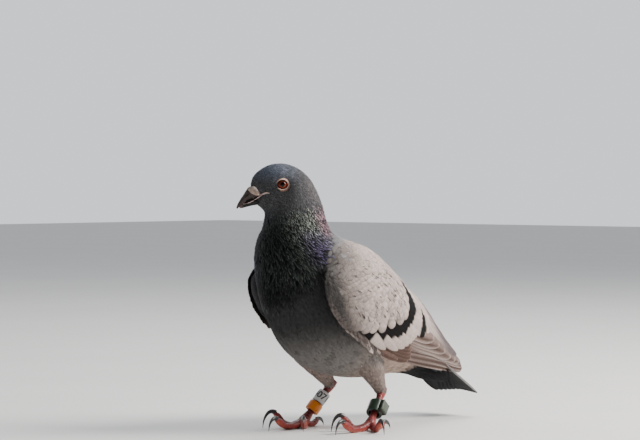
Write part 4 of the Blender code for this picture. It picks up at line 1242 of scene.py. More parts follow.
SECOND_BAR_MIDDLE = ((0.35, 7.81), (0.44, 7.99), (0.52, 7.98), (0.59, 7.93), (0.65, 7.80), (0.70, 7.60),
                     (0.80, 7.10))


def make_barred_feathers(tints):
    """The greater coverts with the first bar, and the inner secondaries with the second."""
    rng = np.random.default_rng(23)
    coat = Coat()
    v = BARRED.along[None]
    rim = np.maximum(np.abs(BARRED.across), (v - 0.7) / 0.3)
    edge = (1 - 0.30 * ease(0.86, 1.0, rim) * (v < 0.97))[..., None]
    shares = np.concatenate([np.linspace(0.05, 0.30, 8), np.linspace(0.35, 0.96, 11)])
    n = len(shares)
    inner, outer, tips = (read(WING_ROWS, shares, k) for k in (1, 2, 3))
    reach = tips - inner + 0.75
    low = ease(0.34, 0.06, shares)
    blades = np.stack([tips, shares, tips - reach, shares + 0.03 + 0.07 * low, 5.8 - 1.6 * low], -1)
    at = tips[:, None] - (1 - v) * reach[:, None] - outer[:, None]
    jag = 0.03 * rng.standard_normal((n, 1)) + 0.03 * BARRED.across[None]
    black = ease(0.014, -0.014, at + jag) * ease(0.95, 0.90, shares)[:, None]
    ground = np.array(tints.shield) * np.exp(0.05 * rng.standard_normal((n, 1)))
    laid_blades(coat, BARRED, blades, mix(ground[:, None] * edge, tints.bar, black), 1.7, 0.0, 0.006)
    shares, tips = np.array(SECOND_BAR_TIPS).T
    n = len(shares)
    blades = np.stack([tips, shares, tips - 2.3, shares + 0.03, np.full(n, 5.4)], -1)
    at = tips[:, None] - (1 - v) * 2.3 + 0.02 * rng.standard_normal((n, 1))
    black = ease(0.19, 0.16, np.abs(at - read(SECOND_BAR_MIDDLE, shares)[:, None]))
    ground = np.array(tints.shield) * np.exp(0.04 * rng.standard_normal((n, 1)))
    laid_blades(coat, BARRED, blades, mix(ground[:, None] * edge, tints.bar, black), 2.2, 0.0, 0.006)
    finish = plumage_finish("barred_plumage", 0.68, 40.0, 0.05, 0.85)
    coat.build_pair("barred_feathers", finish, "wing_grey")


PRIMARIES = (  # tip along, tip share, root along, root share, half width, from the innermost
    (8.80, 0.34, 5.4, 0.26, 5.4),
    (9.35, 0.31, 5.5, 0.24, 5.4),
    (10.0, 0.29, 5.6, 0.22, 5.3),
    (10.6, 0.26, 5.7, 0.19, 5.2),
    (11.2, 0.27, 5.8, 0.16, 5.0),
    (11.8, 0.31, 5.9, 0.13, 4.8),
    (12.3, 0.34, 6.0, 0.11, 4.5),
    (12.7, 0.30, 6.0, 0.08, 4.2),
    (12.9, 0.18, 6.0, 0.06, 3.9),
    (12.6, 0.06, 6.0, 0.03, 3.4),
)
SECONDARIES = (
    (8.7, 1.10, 6.2, 1.03, 5.0),
    (8.9, 1.02, 6.2, 0.94, 5.6),
    (9.3, 0.90, 6.2, 0.80, 6.0),
    (9.9, 0.80, 6.2, 0.72, 6.2),
    (10.5, 0.70, 6.2, 0.64, 6.2),
    (11.1, 0.62, 6.2, 0.56, 6.0),
    (11.6, 0.52, 6.2, 0.48, 5.6),
)
PRIMARY_COVERTS = (
    (7.15, 0.145, 5.2, 0.13, 3.6),
    (7.25, 0.12, 5.2, 0.105, 3.6),
    (7.35, 0.09, 5.2, 0.08, 3.5),
    (7.40, 0.06, 5.2, 0.055, 3.3),
    (7.30, 0.03, 5.2, 0.03, 3.0),
    (6.6, 0.02, 4.6, 0.02, 2.8),
)


def flight_colours(vane, blades, tints, edge, rng, shadow=1.0):
    """Brown webs with a painted shadow line just inside the next feather's edge, and a light rim on the outer
    web.
    """
    count = len(blades)
    u, v = vane.across[None], vane.along[None]
    base = np.array(tints.flight) * np.exp(0.09 * rng.standard_normal((count, 1)))
    inside = 0.72 + 0.06 * rng.standard_normal((count, 1))
    # Painted shadow under the overlapping feather's edge
    line = ease(inside, inside - 0.16, u) * ease(inside - 0.75, inside - 0.35, u)
    webs = mix(base[:, None], tints.flight_shadow, shadow * line * (1 - 0.4 * ease(0.8, 1.0, v)))
    pale = np.maximum(ease(0.95, 1.0, u) * ease(0.25, 0.6, v), ease(0.965, 0.995, v + 0 * u))
    return mix(webs, edge, 0.62 * pale)


def make_flight_feathers(tints):
    """Primaries, long inner secondaries and primary coverts of both wings."""
    rng = np.random.default_rng(24)
    coat = Coat()
    colours = flight_colours(FLIGHT, SECONDARIES, tints, tints.flight, rng, 0.25) * (0.62, 0.68, 0.78)
    colours = mix(np.array(tints.shield) * 0.9, colours, ease(0.45, 0.85, FLIGHT.along))
    laid_blades(coat, FLIGHT, SECONDARIES, colours, 2.0, 0.15, 0.012, rise=0.5)
    colours = flight_colours(FLIGHT, PRIMARIES, tints, tints.flight_edge, rng)
    laid_blades(coat, FLIGHT, PRIMARIES, colours, 2.2, 0.26, 0.012, sweep=0.3, rise=0.5)
    colours = flight_colours(FLIGHT, PRIMARY_COVERTS, tints, tints.flight_edge, rng, 0.6) * (0.62, 0.52, 0.48)
    laid_blades(coat, FLIGHT, PRIMARY_COVERTS, colours, 1.4, 0.05, 0.012)
    finish = plumage_finish("flight_plumage", 0.6, 60.0, 0.05, 0.7)
    coat.build_pair("flight_feathers", finish, "flight_brown", "primaries")


# ---------------------------------------------------------------- tail


def make_tail_coverts(tints, rng):
    coat = Coat()
    n = 150
    across = 1.1 * rng.random(n) - 0.55
    along = 0.02 + 0.36 * rng.random(n)
    top = 1.25 * (1 - across**2) + 1.6 - 3.2 * along
    ground = toned(mix(tints.rump, tints.tail, ease(0.02, 0.26, along)), rng, 0.07)
    # Painted shade towards each feather's root, where its neighbours overlap it
    coat.lay(COVERT, tail_surface, 1, (along - 0.26, across * 0.9), (along, across), (4.0, -0.5, top),
             shaded(ground, 0.6 + 0.45 * COVERT.along), (across * 0.45 + 0.5, along, 0.003), 0.6)
    n = 260
    across = 1.1 * rng.random(n) - 0.55
    along = -0.12 + 0.50 * rng.random(n)
    across = across * (1 + 0.5 * ease(0.1, 0.38, along))
    low = (4.2 - 5.0 * np.clip(along, 0, 1)) * (0.7 + 0.5 * rng.random(n))
    wisp = (rng.random(n) < 0.22) * ease(0.06, 0.2, along)
    ground = mix(mix(tints.under_tail, tints.tail_band_and_shade, ease(-0.06, 0.12, along)), tints.vent, 0.3 * wisp)
    # Painted shade towards each feather's root, where its neighbours overlap it
    coat.lay(HACKLE, tail_surface, -1, (along - 0.22, across * 0.9), (along, across), (2.2, 0.5, low),
             shaded(ground, 0.6 + 0.45 * HACKLE.along), (across * 0.45 + 0.5, 0.5 + along, 0.003), 0.7)
    finish = plumage_finish("tail_covert_plumage", 0.75, 14.0, 0.08, 0.85)
    coat.build("tail_coverts", finish, "plumage_grey")


def make_tail(tints):
    """Twelve tail feathers under their upper and lower coverts."""
    rng = np.random.default_rng(25)
    n = TAIL_FEATHERS
    order = np.abs(np.arange(n) - (n - 1) / 2)
    across = (np.arange(n) + 0.5) * 2 / n - 1
    tips = 1.0 - 0.045 * np.abs(across) ** 3, across * 0.88
    u, v = FLIGHT.across[None], FLIGHT.along[None]
    under = FLIGHT.points[None, :, 2] < 0.05 * (1 - u**2) - 0.015
    ground = np.array(tints.tail) * np.exp(0.06 * rng.standard_normal((n, 1)))
    middle = (1 - 0.2 * ease(0.4, 0.1, np.abs(u)))[..., None]
    colours = mix(ground[:, None] * middle, tints.tail_band_and_shade, ease(0.70, 0.76, v))
    outer_web = ease(0.02, 0.12, np.sign(across)[:, None] * u)
    outermost = (order > order.max() - 0.5)[:, None] * outer_web * ease(0.995, 0.93, v)
    colours = mix(colours, tints.tail_edge, outermost)
    # The underside is near black: partly its own dark grey, partly painted shade under the tail
    colours = mix(colours, tints.tail_band_and_shade, under * (1 - 0.6 * outermost * (across > 0)[:, None]))
    coat = Coat()
    coat.lay(FLIGHT, tail_surface, 1, (np.full(n, -0.05), across * 0.42), tips,
             (6.0, 0.3, 1.3 - 0.32 * order), colours, (across * 0.45 + 0.5, np.full(n, 0.5), 0.02), 0.4)
    coat.build("tail_feathers", plumage_finish("tail_plumage", 0.5, 60.0, 0.05, 0.8), "tail_black", "tail")
    make_tail_coverts(tints, rng)


# ---------------------------------------------------------------- meshes of the bare parts


SIDES = (("left", 1), ("right", -1))  # with the sign of the bird's left


def set_down(bm, turn, at):
    """Turns a bmesh about its own middle and moves it to a place."""
    bmesh.ops.rotate(bm, verts=bm.verts, matrix=turn)
    bmesh.ops.translate(bm, verts=bm.verts, vec=at)


def extrude_along(rings):
    """A closed bmesh: a capped circle laid on the first ring and extruded to each next one."""
    bm = bmesh.new()
    verts = bmesh.ops.create_circle(bm, cap_ends=True, segments=len(rings[0]), radius=MM)["verts"]
    for vert, co in zip(verts, rings[0]):
        vert.co = co
    bm.faces.ensure_lookup_table()
    first = cap = bm.faces[0]
    for ring in rings[1:]:
        geometry = bmesh.ops.extrude_face_region(bm, geom=[cap])["geom"]
        if cap is not first:
            bmesh.ops.delete(bm, geom=[cap], context="FACES_ONLY")
        new = {g for g in geometry if isinstance(g, bmesh.types.BMVert)}
        cap = next(g for g in geometry if isinstance(g, bmesh.types.BMFace))
        verts = [next(e.other_vert(v) for e in v.link_edges if e.other_vert(v) in new) for v in verts]
        for vert, co in zip(verts, ring):
            vert.co = co
    bmesh.ops.poke(bm, faces=[face for face in bm.faces if len(face.verts) > 4])
    return bm


def tube_rings(line, radii, sides, flatten=1.0):
    """Rings round a line of points, with a flat side down. flatten stretches them upright."""
    line = np.asarray(line, float)
    ahead = np.gradient(line, axis=0)
    ahead /= length_of(ahead)
    side = np.cross(ahead, (0, 0, 1))
    side /= np.maximum(length_of(side), 1e-9)
    top = np.cross(side, ahead)
    angles = 2 * np.pi * (np.arange(sides) + 0.5) / sides
    rim = side[:, None] * np.cos(angles)[None, :, None]
    rim = rim + top[:, None] * np.sin(angles)[None, :, None] * flatten
    return line[:, None] + rim * (np.asarray(radii) * MM)[:, None, None]


def turned_outline(profile, steps):
    """A profile of (out, along) in millimetres spun a whole turn about the Z axis."""
    bm = bmesh.new()
    verts = [bm.verts.new((out * MM, 0, along * MM)) for out, along in profile]
    for first, second in zip(verts, verts[1:]):
        bm.edges.new((first, second))
    outline = bm.verts[:] + bm.edges[:]
    spin = {"cent": (0, 0, 0), "axis": (0, 0, 1), "angle": 2 * math.pi}
    bmesh.ops.spin(bm, geom=outline, steps=steps, use_merge=True, **spin)
    bmesh.ops.remove_doubles(bm, verts=bm.verts, dist=1e-7)
    return bm


def numbers_of(bm):
    return np.array([vert.co for vert in bm.verts])


def move_to(bm, points):
    for vert, co in zip(bm.verts, points):
        vert.co = co


def piece_from(bm, name, finish, slot, *nodes, colours=None, sharp=60):
    """Turns a bmesh with the head, moves it to the part's frame and makes it a piece."""
    move_to(bm, turned(numbers_of(bm)) + SHIFT)
    bmesh.ops.recalc_face_normals(bm, faces=bm.faces)
    mesh = mesh_of(bm, name)
    if colours is not None:
        add_colours(mesh, colours)
    mesh.shade_smooth()
    mesh.set_sharp_from_angle(angle=math.radians(sharp))
    return finished(name, mesh, finish, slot, *nodes)


# ---------------------------------------------------------------- bill, cere and mouth

# Stations of the bill's halves from the face to the tip: top (forward, up), bottom (forward, up), half width
UPPER_BILL = (
    (54.0, 174.0, 51.0, 167.6, 4.5),
    (58.4, 174.2, 55.4, 166.2, 4.5),
    (61.2, 172.0, 58.4, 165.4, 4.0),
    (63.0, 169.3, 60.6, 164.5, 3.4),
    (64.9, 166.5, 62.8, 163.0, 2.75),
    (66.5, 164.0, 64.8, 161.4, 2.1),
    (67.9, 161.5, 66.4, 159.9, 1.45),
    (68.8, 158.9, 67.9, 158.4, 0.6),
)
LOWER_BILL = (
    (51.0, 167.2, 50.4, 161.6, 3.7),
    (55.4, 165.9, 54.4, 161.0, 3.7),
    (58.4, 165.8, 57.6, 160.5, 3.2),
    (60.8, 164.9, 60.2, 159.9, 2.7),
    (63.0, 163.5, 62.6, 159.3, 2.1),
    (65.1, 161.8, 64.6, 158.8, 1.4),
    (66.6, 160.1, 66.4, 158.8, 0.6),
)
BILL_SIDES, BILL_RINGS = 28, 33
# The mouth's line from the bill back to the corner's end: forward, up
GAPE = (
    (64.0, 161.9),
    (60.1, 163.0),
    (56.7, 164.8),
    (54.0, 166.7),
    (51.2, 168.8),
    (49.2, 169.5),
    (46.8, 169.4),
)
CERE_MIDDLE, CERE_RADII, CERE_SLOPE = (56.0, 4.6, 170.5), (5.3, 2.6, 3.0), math.radians(25)
CERE_SPLAY = math.radians(24)
NOSTRIL = (60.6, 3.35, 168.3)


def bill_half(stations, top_power, bottom_power):
    """Rings of a bill's half, with a rounded ridge and a squarer cutting edge."""
    rows = rows_at(stations, np.linspace(0, len(stations) - 1, BILL_RINGS))
    rings = []
    for top_f, top_u, bottom_f, bottom_u, half in rows:
        angle = 2 * np.pi * np.arange(BILL_SIDES) / BILL_SIDES
        cos, sin = np.cos(angle), np.sin(angle)
        upright = np.sign(cos) * np.abs(cos) ** np.where(cos > 0, top_power, bottom_power)
        across = np.sign(sin) * np.abs(sin) ** 0.85 * half
        middle_f, middle_u = (top_f + bottom_f) / 2, (top_u + bottom_u) / 2
        reach_f, reach_u = (top_f - bottom_f) / 2, (top_u - bottom_u) / 2
        rings.append(place(middle_f + reach_f * upright, across, middle_u + reach_u * upright))
    return rings


# A flat dark colour, for painted shade in openings and creases
def painted_shade_finish(name, roughness, colour):
    return Finish(name, roughness).done((*colour, 1))


def bill_finish():
    finish = Finish("bill_horn", 0.45, Specular_IOR_Level=0.2, Coat_Weight=0.05, Coat_Roughness=0.3)
    tone = finish.map(finish.noise(900.0, 4.0), 0.3, 0.7, 0.75, 1.25)
    return finish.done(finish.marking(tone), finish.noise(1500.0), 0.25, 0.0002)


def make_bill(bare):
    finish = bill_finish()
    bm = extrude_along(bill_half(UPPER_BILL, 0.9, 0.25))
    forward, _, up = bird_terms(numbers_of(bm))
    ridge = read(UPPER_BILL, forward)
    edge = read([row[2:4] for row in UPPER_BILL], forward)
    deep = np.clip((ridge - up) / np.maximum(ridge - edge, 0.3), 0, 1)
    pale = 0.8 * ease(0.80, 1.0, deep) * ease(68.4, 67.0, forward) * ease(61.5, 64, forward)
    colours = mix(bare.horn, bare.bill_side, 0.16 * ease(0.35, 0.65, deep) + pale)
    piece_from(bm, "bill_upper_horn", finish, "bill_horn", "bill_upper", colours=colours, sharp=70)
    bm = extrude_along(bill_half(LOWER_BILL, 0.25, 0.9))
    pale = 0.75 * ease(54, 59, bird_terms(numbers_of(bm))[0])
    colours = mix(bare.horn, bare.bill_side, pale)
    piece_from(bm, "bill_lower_horn", finish, "bill_horn", "bill_lower", colours=colours, sharp=70)


def side_of_head(forward, up):
    """How far out the head's side lies at a place of its profile."""
    at_forward, at_left, at_up = bird_terms(grid_of(body_surface, 0, 9, 0.02, math.pi - 0.02, 220, 160))
    apart = np.hypot(at_forward - forward, at_up - up)
    return float(at_left[apart < apart.min() + 0.4].max())


def flesh_finish(name, colour, roughness, scale, strength, second=None, marked=False):
    """Bare skin: two near tones, fine wrinkles with painted shade in their creases and a little light under
    the surface.
    """
    finish = Finish(name, roughness, Subsurface_Weight=0.08, Subsurface_Radius=(0.002, 0.0008, 0.0005),
                    Subsurface_Scale=1.0)
    wrinkle = finish.cracks(scale)
    darker = scaled(colour, 0.62)
    tone = finish.blend(finish.map(finish.noise(scale * 0.4, 4.0), 0.35, 0.65), second or darker, colour)
    # Painted shade: darker in the wrinkles' creases
    tone = finish.blend(finish.map(wrinkle, 0.0, 0.12, 0.45, 0.0), tone, darker)
    if marked:
        tone = finish.blend(1.0, tone, finish.marking(), "MULTIPLY")
    return finish.done(tone, finish.map(wrinkle, 0.0, 0.25), strength, 0.0002)


def make_cere(bare):
    """The two powdery swellings over the nostrils, and the nostrils' slits below them, dark solids painted as
    the shade inside the openings.
    """
    white = flesh_finish("cere_skin", bare.cere, 0.8, 1300.0, 0.6, scaled(bare.cere, 0.45), True)
    dark = painted_shade_finish("nostril_shade", 0.9, (0.01, 0.008, 0.008))
    for side, sign in SIDES:
        bm = bmesh.new()
        bmesh.ops.create_uvsphere(bm, u_segments=48, v_segments=32, radius=1.0)
        bmesh.ops.rotate(bm, verts=bm.verts, matrix=Matrix.Rotation(math.pi / 2, 3, "Y"))
        unit = numbers_of(bm)
        out, back, up = unit.T
        peak = 1.12 - 0.95 * ease(-0.35, 1.15, back) - 0.35 * ease(-0.45, -1.0, back)
        height = np.where(up > 0, up * peak, -np.abs(up) ** 0.8 * 0.78 + 0.16 * ease(0.2, 1.0, back))
        folds = np.array([noise.fractal(Vector(c) * 1.3, 1.0, 2.0, 3) for c in unit * (2.2, 3.0, 2.6)])
        points = np.stack([out * CERE_RADII[1], back * CERE_RADII[0], height * CERE_RADII[2]], -1)
        move_to(bm, points * (1 + 0.06 * folds)[:, None] * MM)
        turn = Matrix.Rotation(-sign * CERE_SPLAY, 3, "Z") @ Matrix.Rotation(-CERE_SLOPE, 3, "X")
        set_down(bm, turn, place(CERE_MIDDLE[0], sign * CERE_MIDDLE[1], CERE_MIDDLE[2]))
        # Whiter on top and at the back: partly the cere's powder, partly a painted highlight from the light
        # above and behind
        powder_and_highlight = np.maximum(ease(0.45, 0.85, up), ease(0.55, 0.9, back) * ease(-0.3, 0.2, up))
        colours = mix((0.58, 0.46, 0.40), (1, 1, 1), np.clip(powder_and_highlight + 0.5 * folds, 0, 1))
        piece_from(bm, "cere_skin_" + side, white, "cere_white", "cere_" + side, colours=colours)
        # The slit: painted shade inside the nostril's opening
        bm = bmesh.new()
        bmesh.ops.create_uvsphere(bm, u_segments=20, v_segments=12, radius=MM)
        bmesh.ops.scale(bm, verts=bm.verts, vec=(0.55, 2.1, 0.42))
        slit = place(NOSTRIL[0], sign * NOSTRIL[1], NOSTRIL[2])
        set_down(bm, Matrix.Rotation(math.radians(38), 3, "X"), slit)
        piece_from(bm, "nostril_" + side, dark, "bill_horn")


def make_gape(bare):
    """The fleshy rims of the mouth, from the bill back to its corners, and the dark line between them,
    painted as the shade in the mouth's crease.
    """
    flesh = flesh_finish("gape_skin", bare.gape, 0.55, 1100.0, 0.4)
    dark = painted_shade_finish("mouth_shade", 0.8, (0.012, 0.007, 0.007))
    forward, up = rows_at(GAPE, np.linspace(0, len(GAPE) - 1, 40)).T
    sides = np.array([side_of_head(f, u) for f, u in zip(forward, up)])
    bill = np.interp(forward, (54, 57.6, 60.2, 62.6, 64.6), (3.6, 3.3, 2.8, 2.2, 1.6))
    out = mix(sides[:, None], bill[:, None], ease(53.5, 56.5, forward))[:, 0] + 0.05
    t = np.linspace(0, 1, len(forward))
    swell = 0.75 + 0.35 * ease(0.62, 0.9, t)
    for side, sign in SIDES:
        for part, start, rise, radius, finish in (
            ("upper", 0.55, 0.42, 0.30, flesh),
            ("lower", -1, -0.40, 0.36, flesh),
            # painted shade in the crease between the rims
            ("line", -1, 0.02, 0.26, dark),
        ):
            kept = t > start
            s = t[kept]
            ends = np.sin(np.pi * np.clip(0.10 + 0.88 * (s - s[0]) / (1 - s[0]), 0, 1))
            height = up[kept] + rise * np.sin(np.pi * np.clip(0.25 + 0.74 * s, 0, 1))
            wavy = swell[kept] + 0.35 * np.sin(17 * s + 2 * rise) * np.sin(41 * s)
            line = place(forward[kept], sign * out[kept], height)
            bm = extrude_along(tube_rings(line, radius * wavy * (0.3 + 0.7 * ends**0.6), 14))
            piece_from(bm, "gape_" + part + "_" + side, finish, "cere_white")


# ---------------------------------------------------------------- eyes


def eye_finish(bare):
    """The iris round its pupil, in rings about the eye's own axis, under a clear wet coat."""
    finish = Finish("eye", 0.3, Coat_Weight=1.0, Coat_Roughness=0.02, Coat_IOR=1.3, Specular_IOR_Level=0.0)
    out, turn, _ = finish.uv("iris")
    rays = finish.add("CombineXYZ", None, i0=finish.math("MULTIPLY", turn, 46.0),
                      i1=finish.math("MULTIPLY", out, 5.0))
    streak = finish.noise(1.0, 3.0, rays.outputs[0])
    out = finish.math("ADD", out, finish.math("MULTIPLY", finish.math("SUBTRACT", streak, 0.5), 0.05))
    iris = finish.blend(finish.map(streak, 0.35, 0.65), scaled(bare.iris, 0.45), bare.iris)
    iris = finish.blend(finish.map(out, 0.57, 0.49, 0.0, 0.7), iris, (0.30, 0.085, 0.02))
    iris = finish.blend(finish.map(out, 0.66, 0.84), iris, bare.iris_rim_and_shade)
    # Painted shadow of the upper lid: the iris darkens towards its top
    iris = finish.blend(finish.map(turn, 0.52, 0.20, 0.0, 0.6), iris, bare.iris_rim_and_shade)
    iris = finish.blend(finish.map(out, 0.445, 0.475), (0.002, 0.002, 0.002), iris)
    # Painted shadow under the lids: near black from the iris's edge outwards
    return finish.done(finish.blend(finish.map(out, 0.93, 0.99), iris, (0.006, 0.003, 0.003)))


IRIS_RADIUS = 3.75
# The bare ring round the eye, from the eyeball's edge out to the feathers: out from the eye's axis,
# and outwards from the eye's middle
LID_PROFILE = ((3.0, 1.7), (3.45, 2.05), (3.75, 2.36), (4.1, 2.62), (4.5, 2.58), (4.9, 2.26), (5.3, 1.86),
               (5.8, 1.35), (6.3, 0.6), (6.3, -0.6), (5.0, -0.8), (3.6, 0.0), (3.0, 1.7))
# A thin dark ring round the lid's inner edge: painted shadow where the lid meets the eye
LID_SHADOW = ((3.5, 1.95), (3.58, 2.36), (3.78, 2.56), (3.98, 2.3), (3.5, 1.95))


def lid_shape(points):
    """Turned lids drawn into the eye's long opening, which follows the eyeball, with beaded folds."""
    x, y, out = points.T / MM
    radius, angle = np.hypot(x, y), np.arctan2(y, x)
    upright, level = x / radius, y / radius
    near = ease(5.6, 3.9, radius)
    corner = np.abs(level) ** 6 * 0.035
    shrink = np.sqrt((upright * (0.95 - 0.12 * near)) ** 2 + (level * (1.0 - 0.02 * near + corner)) ** 2)
    moved = radius * shrink
    ball, flat = (np.sqrt(np.maximum(EYE_RADIUS**2 - at**2, 0)) for at in (moved, radius))
    beads = np.sin(angle * 26 + 2.2 * np.sin(radius * 5.0)) * ease(3.8, 4.5, radius) * ease(5.9, 5.0, radius)
    out = out + near * (ball - flat) * (radius < EYE_RADIUS + 0.4) + 0.09 * beads
    out = out + 0.26 * np.minimum(moved * level, 0) * ease(4.0, 6.0, radius)
    return np.stack([moved * upright, moved * level, out], -1) * MM


def make_eyes(bare):
    eye = eye_finish(bare)
    lid = flesh_finish("eye_ring_skin", bare.lid, 0.5, 1500.0, 0.45, (0.54, 0.39, 0.31))
    dark = painted_shade_finish("lid_shadow", 0.5, (0.016, 0.008, 0.008))
    steps = np.linspace(0, math.pi, 40)
    bulge = 1 + 0.035 * ease(0.75, 0.0, np.sin(steps)) * (np.cos(steps) > 0)
    ball = np.stack([np.sin(steps), np.cos(steps) * bulge], -1) * EYE_RADIUS
    for side, sign in SIDES:
        outward = Matrix.Rotation(sign * math.pi / 2, 3, "Y")
        middle = place(EYE_FORWARD, sign * EYE_OUT, EYE_UP)
        bm = turned_outline(ball, 64)
        flat = numbers_of(bm) / MM
        set_down(bm, outward, middle)
        mesh = piece_from(bm, "eyeball_" + side, eye, "eye_orange", "eye_" + side).data
        corners = np.empty(len(mesh.loops), np.int32)
        mesh.loops.foreach_get("vertex_index", corners)
        out = np.hypot(flat[:, 0], flat[:, 1]) / IRIS_RADIUS
        out = np.where(flat[:, 2] > 0, np.minimum(out, 1.0), 1.0)
        turn = np.abs(np.arctan2(flat[:, 1], -sign * flat[:, 0])) / math.pi
        places = np.stack([out, turn], -1)[corners].astype(np.float32)
        mesh.uv_layers.new(name="iris").data.foreach_set("uv", places.ravel())
        for part, profile, finish, nodes in (
            ("ring", LID_PROFILE, lid, ["lid_" + side]),
            # the dark ring of painted shadow at the lid's edge
            ("edge", LID_SHADOW, dark, []),
        ):
            smooth = rows_at(profile, np.linspace(0, len(profile) - 1, 6 * len(profile)))
            smooth[-1] = smooth[0]
            bm = turned_outline(smooth, 96)
            move_to(bm, lid_shape(numbers_of(bm)))
            set_down(bm, outward, middle)
            piece_from(bm, "eye_" + part + "_" + side, finish, "lid_skin", *nodes)


# ---------------------------------------------------------------- legs and feet

FOOT_VOXEL = 0.42 * MM
SCUTE = 2.15


def leg_joints(side):
    return tuple(place(*LEG_POINTS[side][k]) for k in ("hock", "pad", "knee"))


def toe_rows(side, toe):
    """The toe in its upright plane, as (distance, height, radius): flat pads, then a raised end."""
    length, _, lift, _ = TOES[toe]
    rest, raised = TOE_REST_HEIGHT, TOES_RAISED.get((side, toe), 0.0)
    return (
        (1.0, 5.2, 1.15),
        (0.26 * length, 2.7, 1.05),
        (0.50 * length, rest, 0.98),
        (0.70 * length, rest + 0.9 * lift + 0.5 * raised, 0.92),
        (0.88 * length, rest + 4.2 * lift + raised, 0.92),
        (1.0 * length, rest + 6.4 * lift + raised, 0.66),
    )


def at_toe(side, toe, distance, height):
    """A point over the line of a toe, from its distance to the pad's middle and its height."""
    heading = math.radians(TOE_HEADINGS[side][toe])
    forward, left, _ = LEG_POINTS[side]["pad"]
    return place(forward + distance * math.cos(heading), left + distance * math.sin(heading), height)


def toe_line(side, toe, count):
    rows = rows_at(toe_rows(side, toe), np.linspace(0, 5, count))
    length, thick, _, joints = TOES[toe]
    share = rows[:, 0] / length
    pads = 1 + 0.07 * np.cos(2 * math.pi * share * (joints + 0.5)) * ease(0.1, 0.3, share)
    line = at_toe(side, toe, rows[:, 0], rows[:, 1])
    return line, rows[:, 2] * TOE_RADIUS * thick * pads


def foot_finish():
    """Red scaly skin, paler and dusty between its scales."""
    finish = Finish("leg_skin", 0.42, Subsurface_Weight=0.05, Subsurface_Radius=(0.002, 0.0006, 0.0004),
                    Subsurface_Scale=1.0, Coat_Weight=0.35, Coat_Roughness=0.15, Specular_IOR_Level=0.25)
    grain = finish.cracks(1100.0)
    colour = finish.marking(finish.map(finish.noise(300.0, 4.0), 0.3, 0.7, 0.62, 1.3))
    colour = finish.blend(finish.map(grain, 0.0, 0.08, 0.35, 0.0), colour, (0.45, 0.20, 0.17))
    return finish.done(colour, finish.map(grain, 0.0, 0.3), 0.5, 0.0003)


def make_foot(side, bare, finish):
    """The bare shank and four toes as one skin, with scutes along their tops."""
    hock, pad, _ = leg_joints(side)
    rows = rows_at(SHANK_RADII, np.linspace(0, len(SHANK_RADII) - 1, 60))
    lines = [(hock + (pad - hock) * rows[:, :1], rows[:, 1])]
    lines += [toe_line(side, toe, 60) for toe in TOES]
    bm = bmesh.new()
    for line, radii in lines:
        limb = mesh_of(extrude_along(tube_rings(line, radii, 20)), "limb")
        bm.from_mesh(limb)
        bpy.data.meshes.remove(limb)
    bmesh.ops.recalc_face_normals(bm, faces=bm.faces)
    bm = fused(bm, FOOT_VOXEL, 4)
    points, normals = numbers_of(bm), np.array([vert.normal for vert in bm.verts])
    every = np.arange(len(points))
    plates, shade, best = np.zeros(len(points)), np.zeros(len(points)), np.full(len(points), 1e9)
    for k, (line, radii) in enumerate(lines):
        apart = np.linalg.norm(points[:, None] - line[None], axis=-1)
        near = apart.argmin(1)
        gap = apart[every, near] - radii[near] * MM
        run = np.concatenate([[0], np.cumsum(np.linalg.norm(np.diff(line, axis=0), axis=1))]) / MM
        along = np.gradient(line, axis=0)[near]
        along /= length_of(along)
        past = ((points - line[near]) * along).sum(-1) / MM
        facing = place(1, 0, 0) / MM if k == 0 else np.array((0, 0, 1.0))
        top = facing - along * (along * facing).sum(-1, keepdims=True)
        top /= np.maximum(length_of(top), 1e-9)
        fraction = ((run[near] + past) / SCUTE) % 1
        closer = gap < best
        plates = np.where(closer, np.clip(np.sin(np.pi * fraction) / 0.55, 0, 1) ** 0.7, plates)
        shade = np.where(closer, (normals * top).sum(-1), shade)
        best = np.minimum(best, gap)
    mask = ease(0.15, 0.55, shade)
    points = points + normals * (0.24 * MM * (plates - 0.7) * mask)[:, None]
    rough = np.array([noise.noise(Vector(c) * 1400) for c in points])
    points = points + normals * (0.05 * MM * rough * (1 - mask))[:, None]
    points[:, 2] = np.maximum(points[:, 2], 0.0)
    sole = ease(3.0, 0.6, points[:, 2] / MM) * ease(0.2, -0.6, normals[:, 2])
    pale = 0.60 * mask * ease(0.75, 0.15, plates)
    pale = np.maximum(pale, 0.22 * (1 - mask) * ease(0.1, 0.5, rough))
    colours = mix(bare.leg, bare.leg_low, ease(0.1, -0.7, shade))
    colours = mix(colours, bare.leg_top, 0.75 * ease(0.1, 0.8, shade))
    colours = mix(colours, bare.scale_edge, pale)
    colours = mix(colours, scaled(bare.scale_edge, 0.8), 0.6 * sole)
    move_to(bm, points)
    toes = ["toe_" + toe + "_" + side for toe in TOES]
    piece_from(bm, "foot_" + side, finish, "leg_red", "shank_" + side, *toes, colours=colours)


def make_feet(bare):
    finish = foot_finish()
    for side in LEG_POINTS:
        make_foot(side, bare, finish)


def claw_finish(bare):
    finish = Finish("claw_horn", 0.28, Coat_Weight=0.3, Coat_Roughness=0.2)
    tone = finish.map(finish.noise(800.0), 0.35, 0.7)
    colour = finish.blend(tone, bare.claw, scaled(bare.claw, 3.0))
    return finish.done(colour, finish.noise(2500.0, 2.0), 0.2, 0.0001)


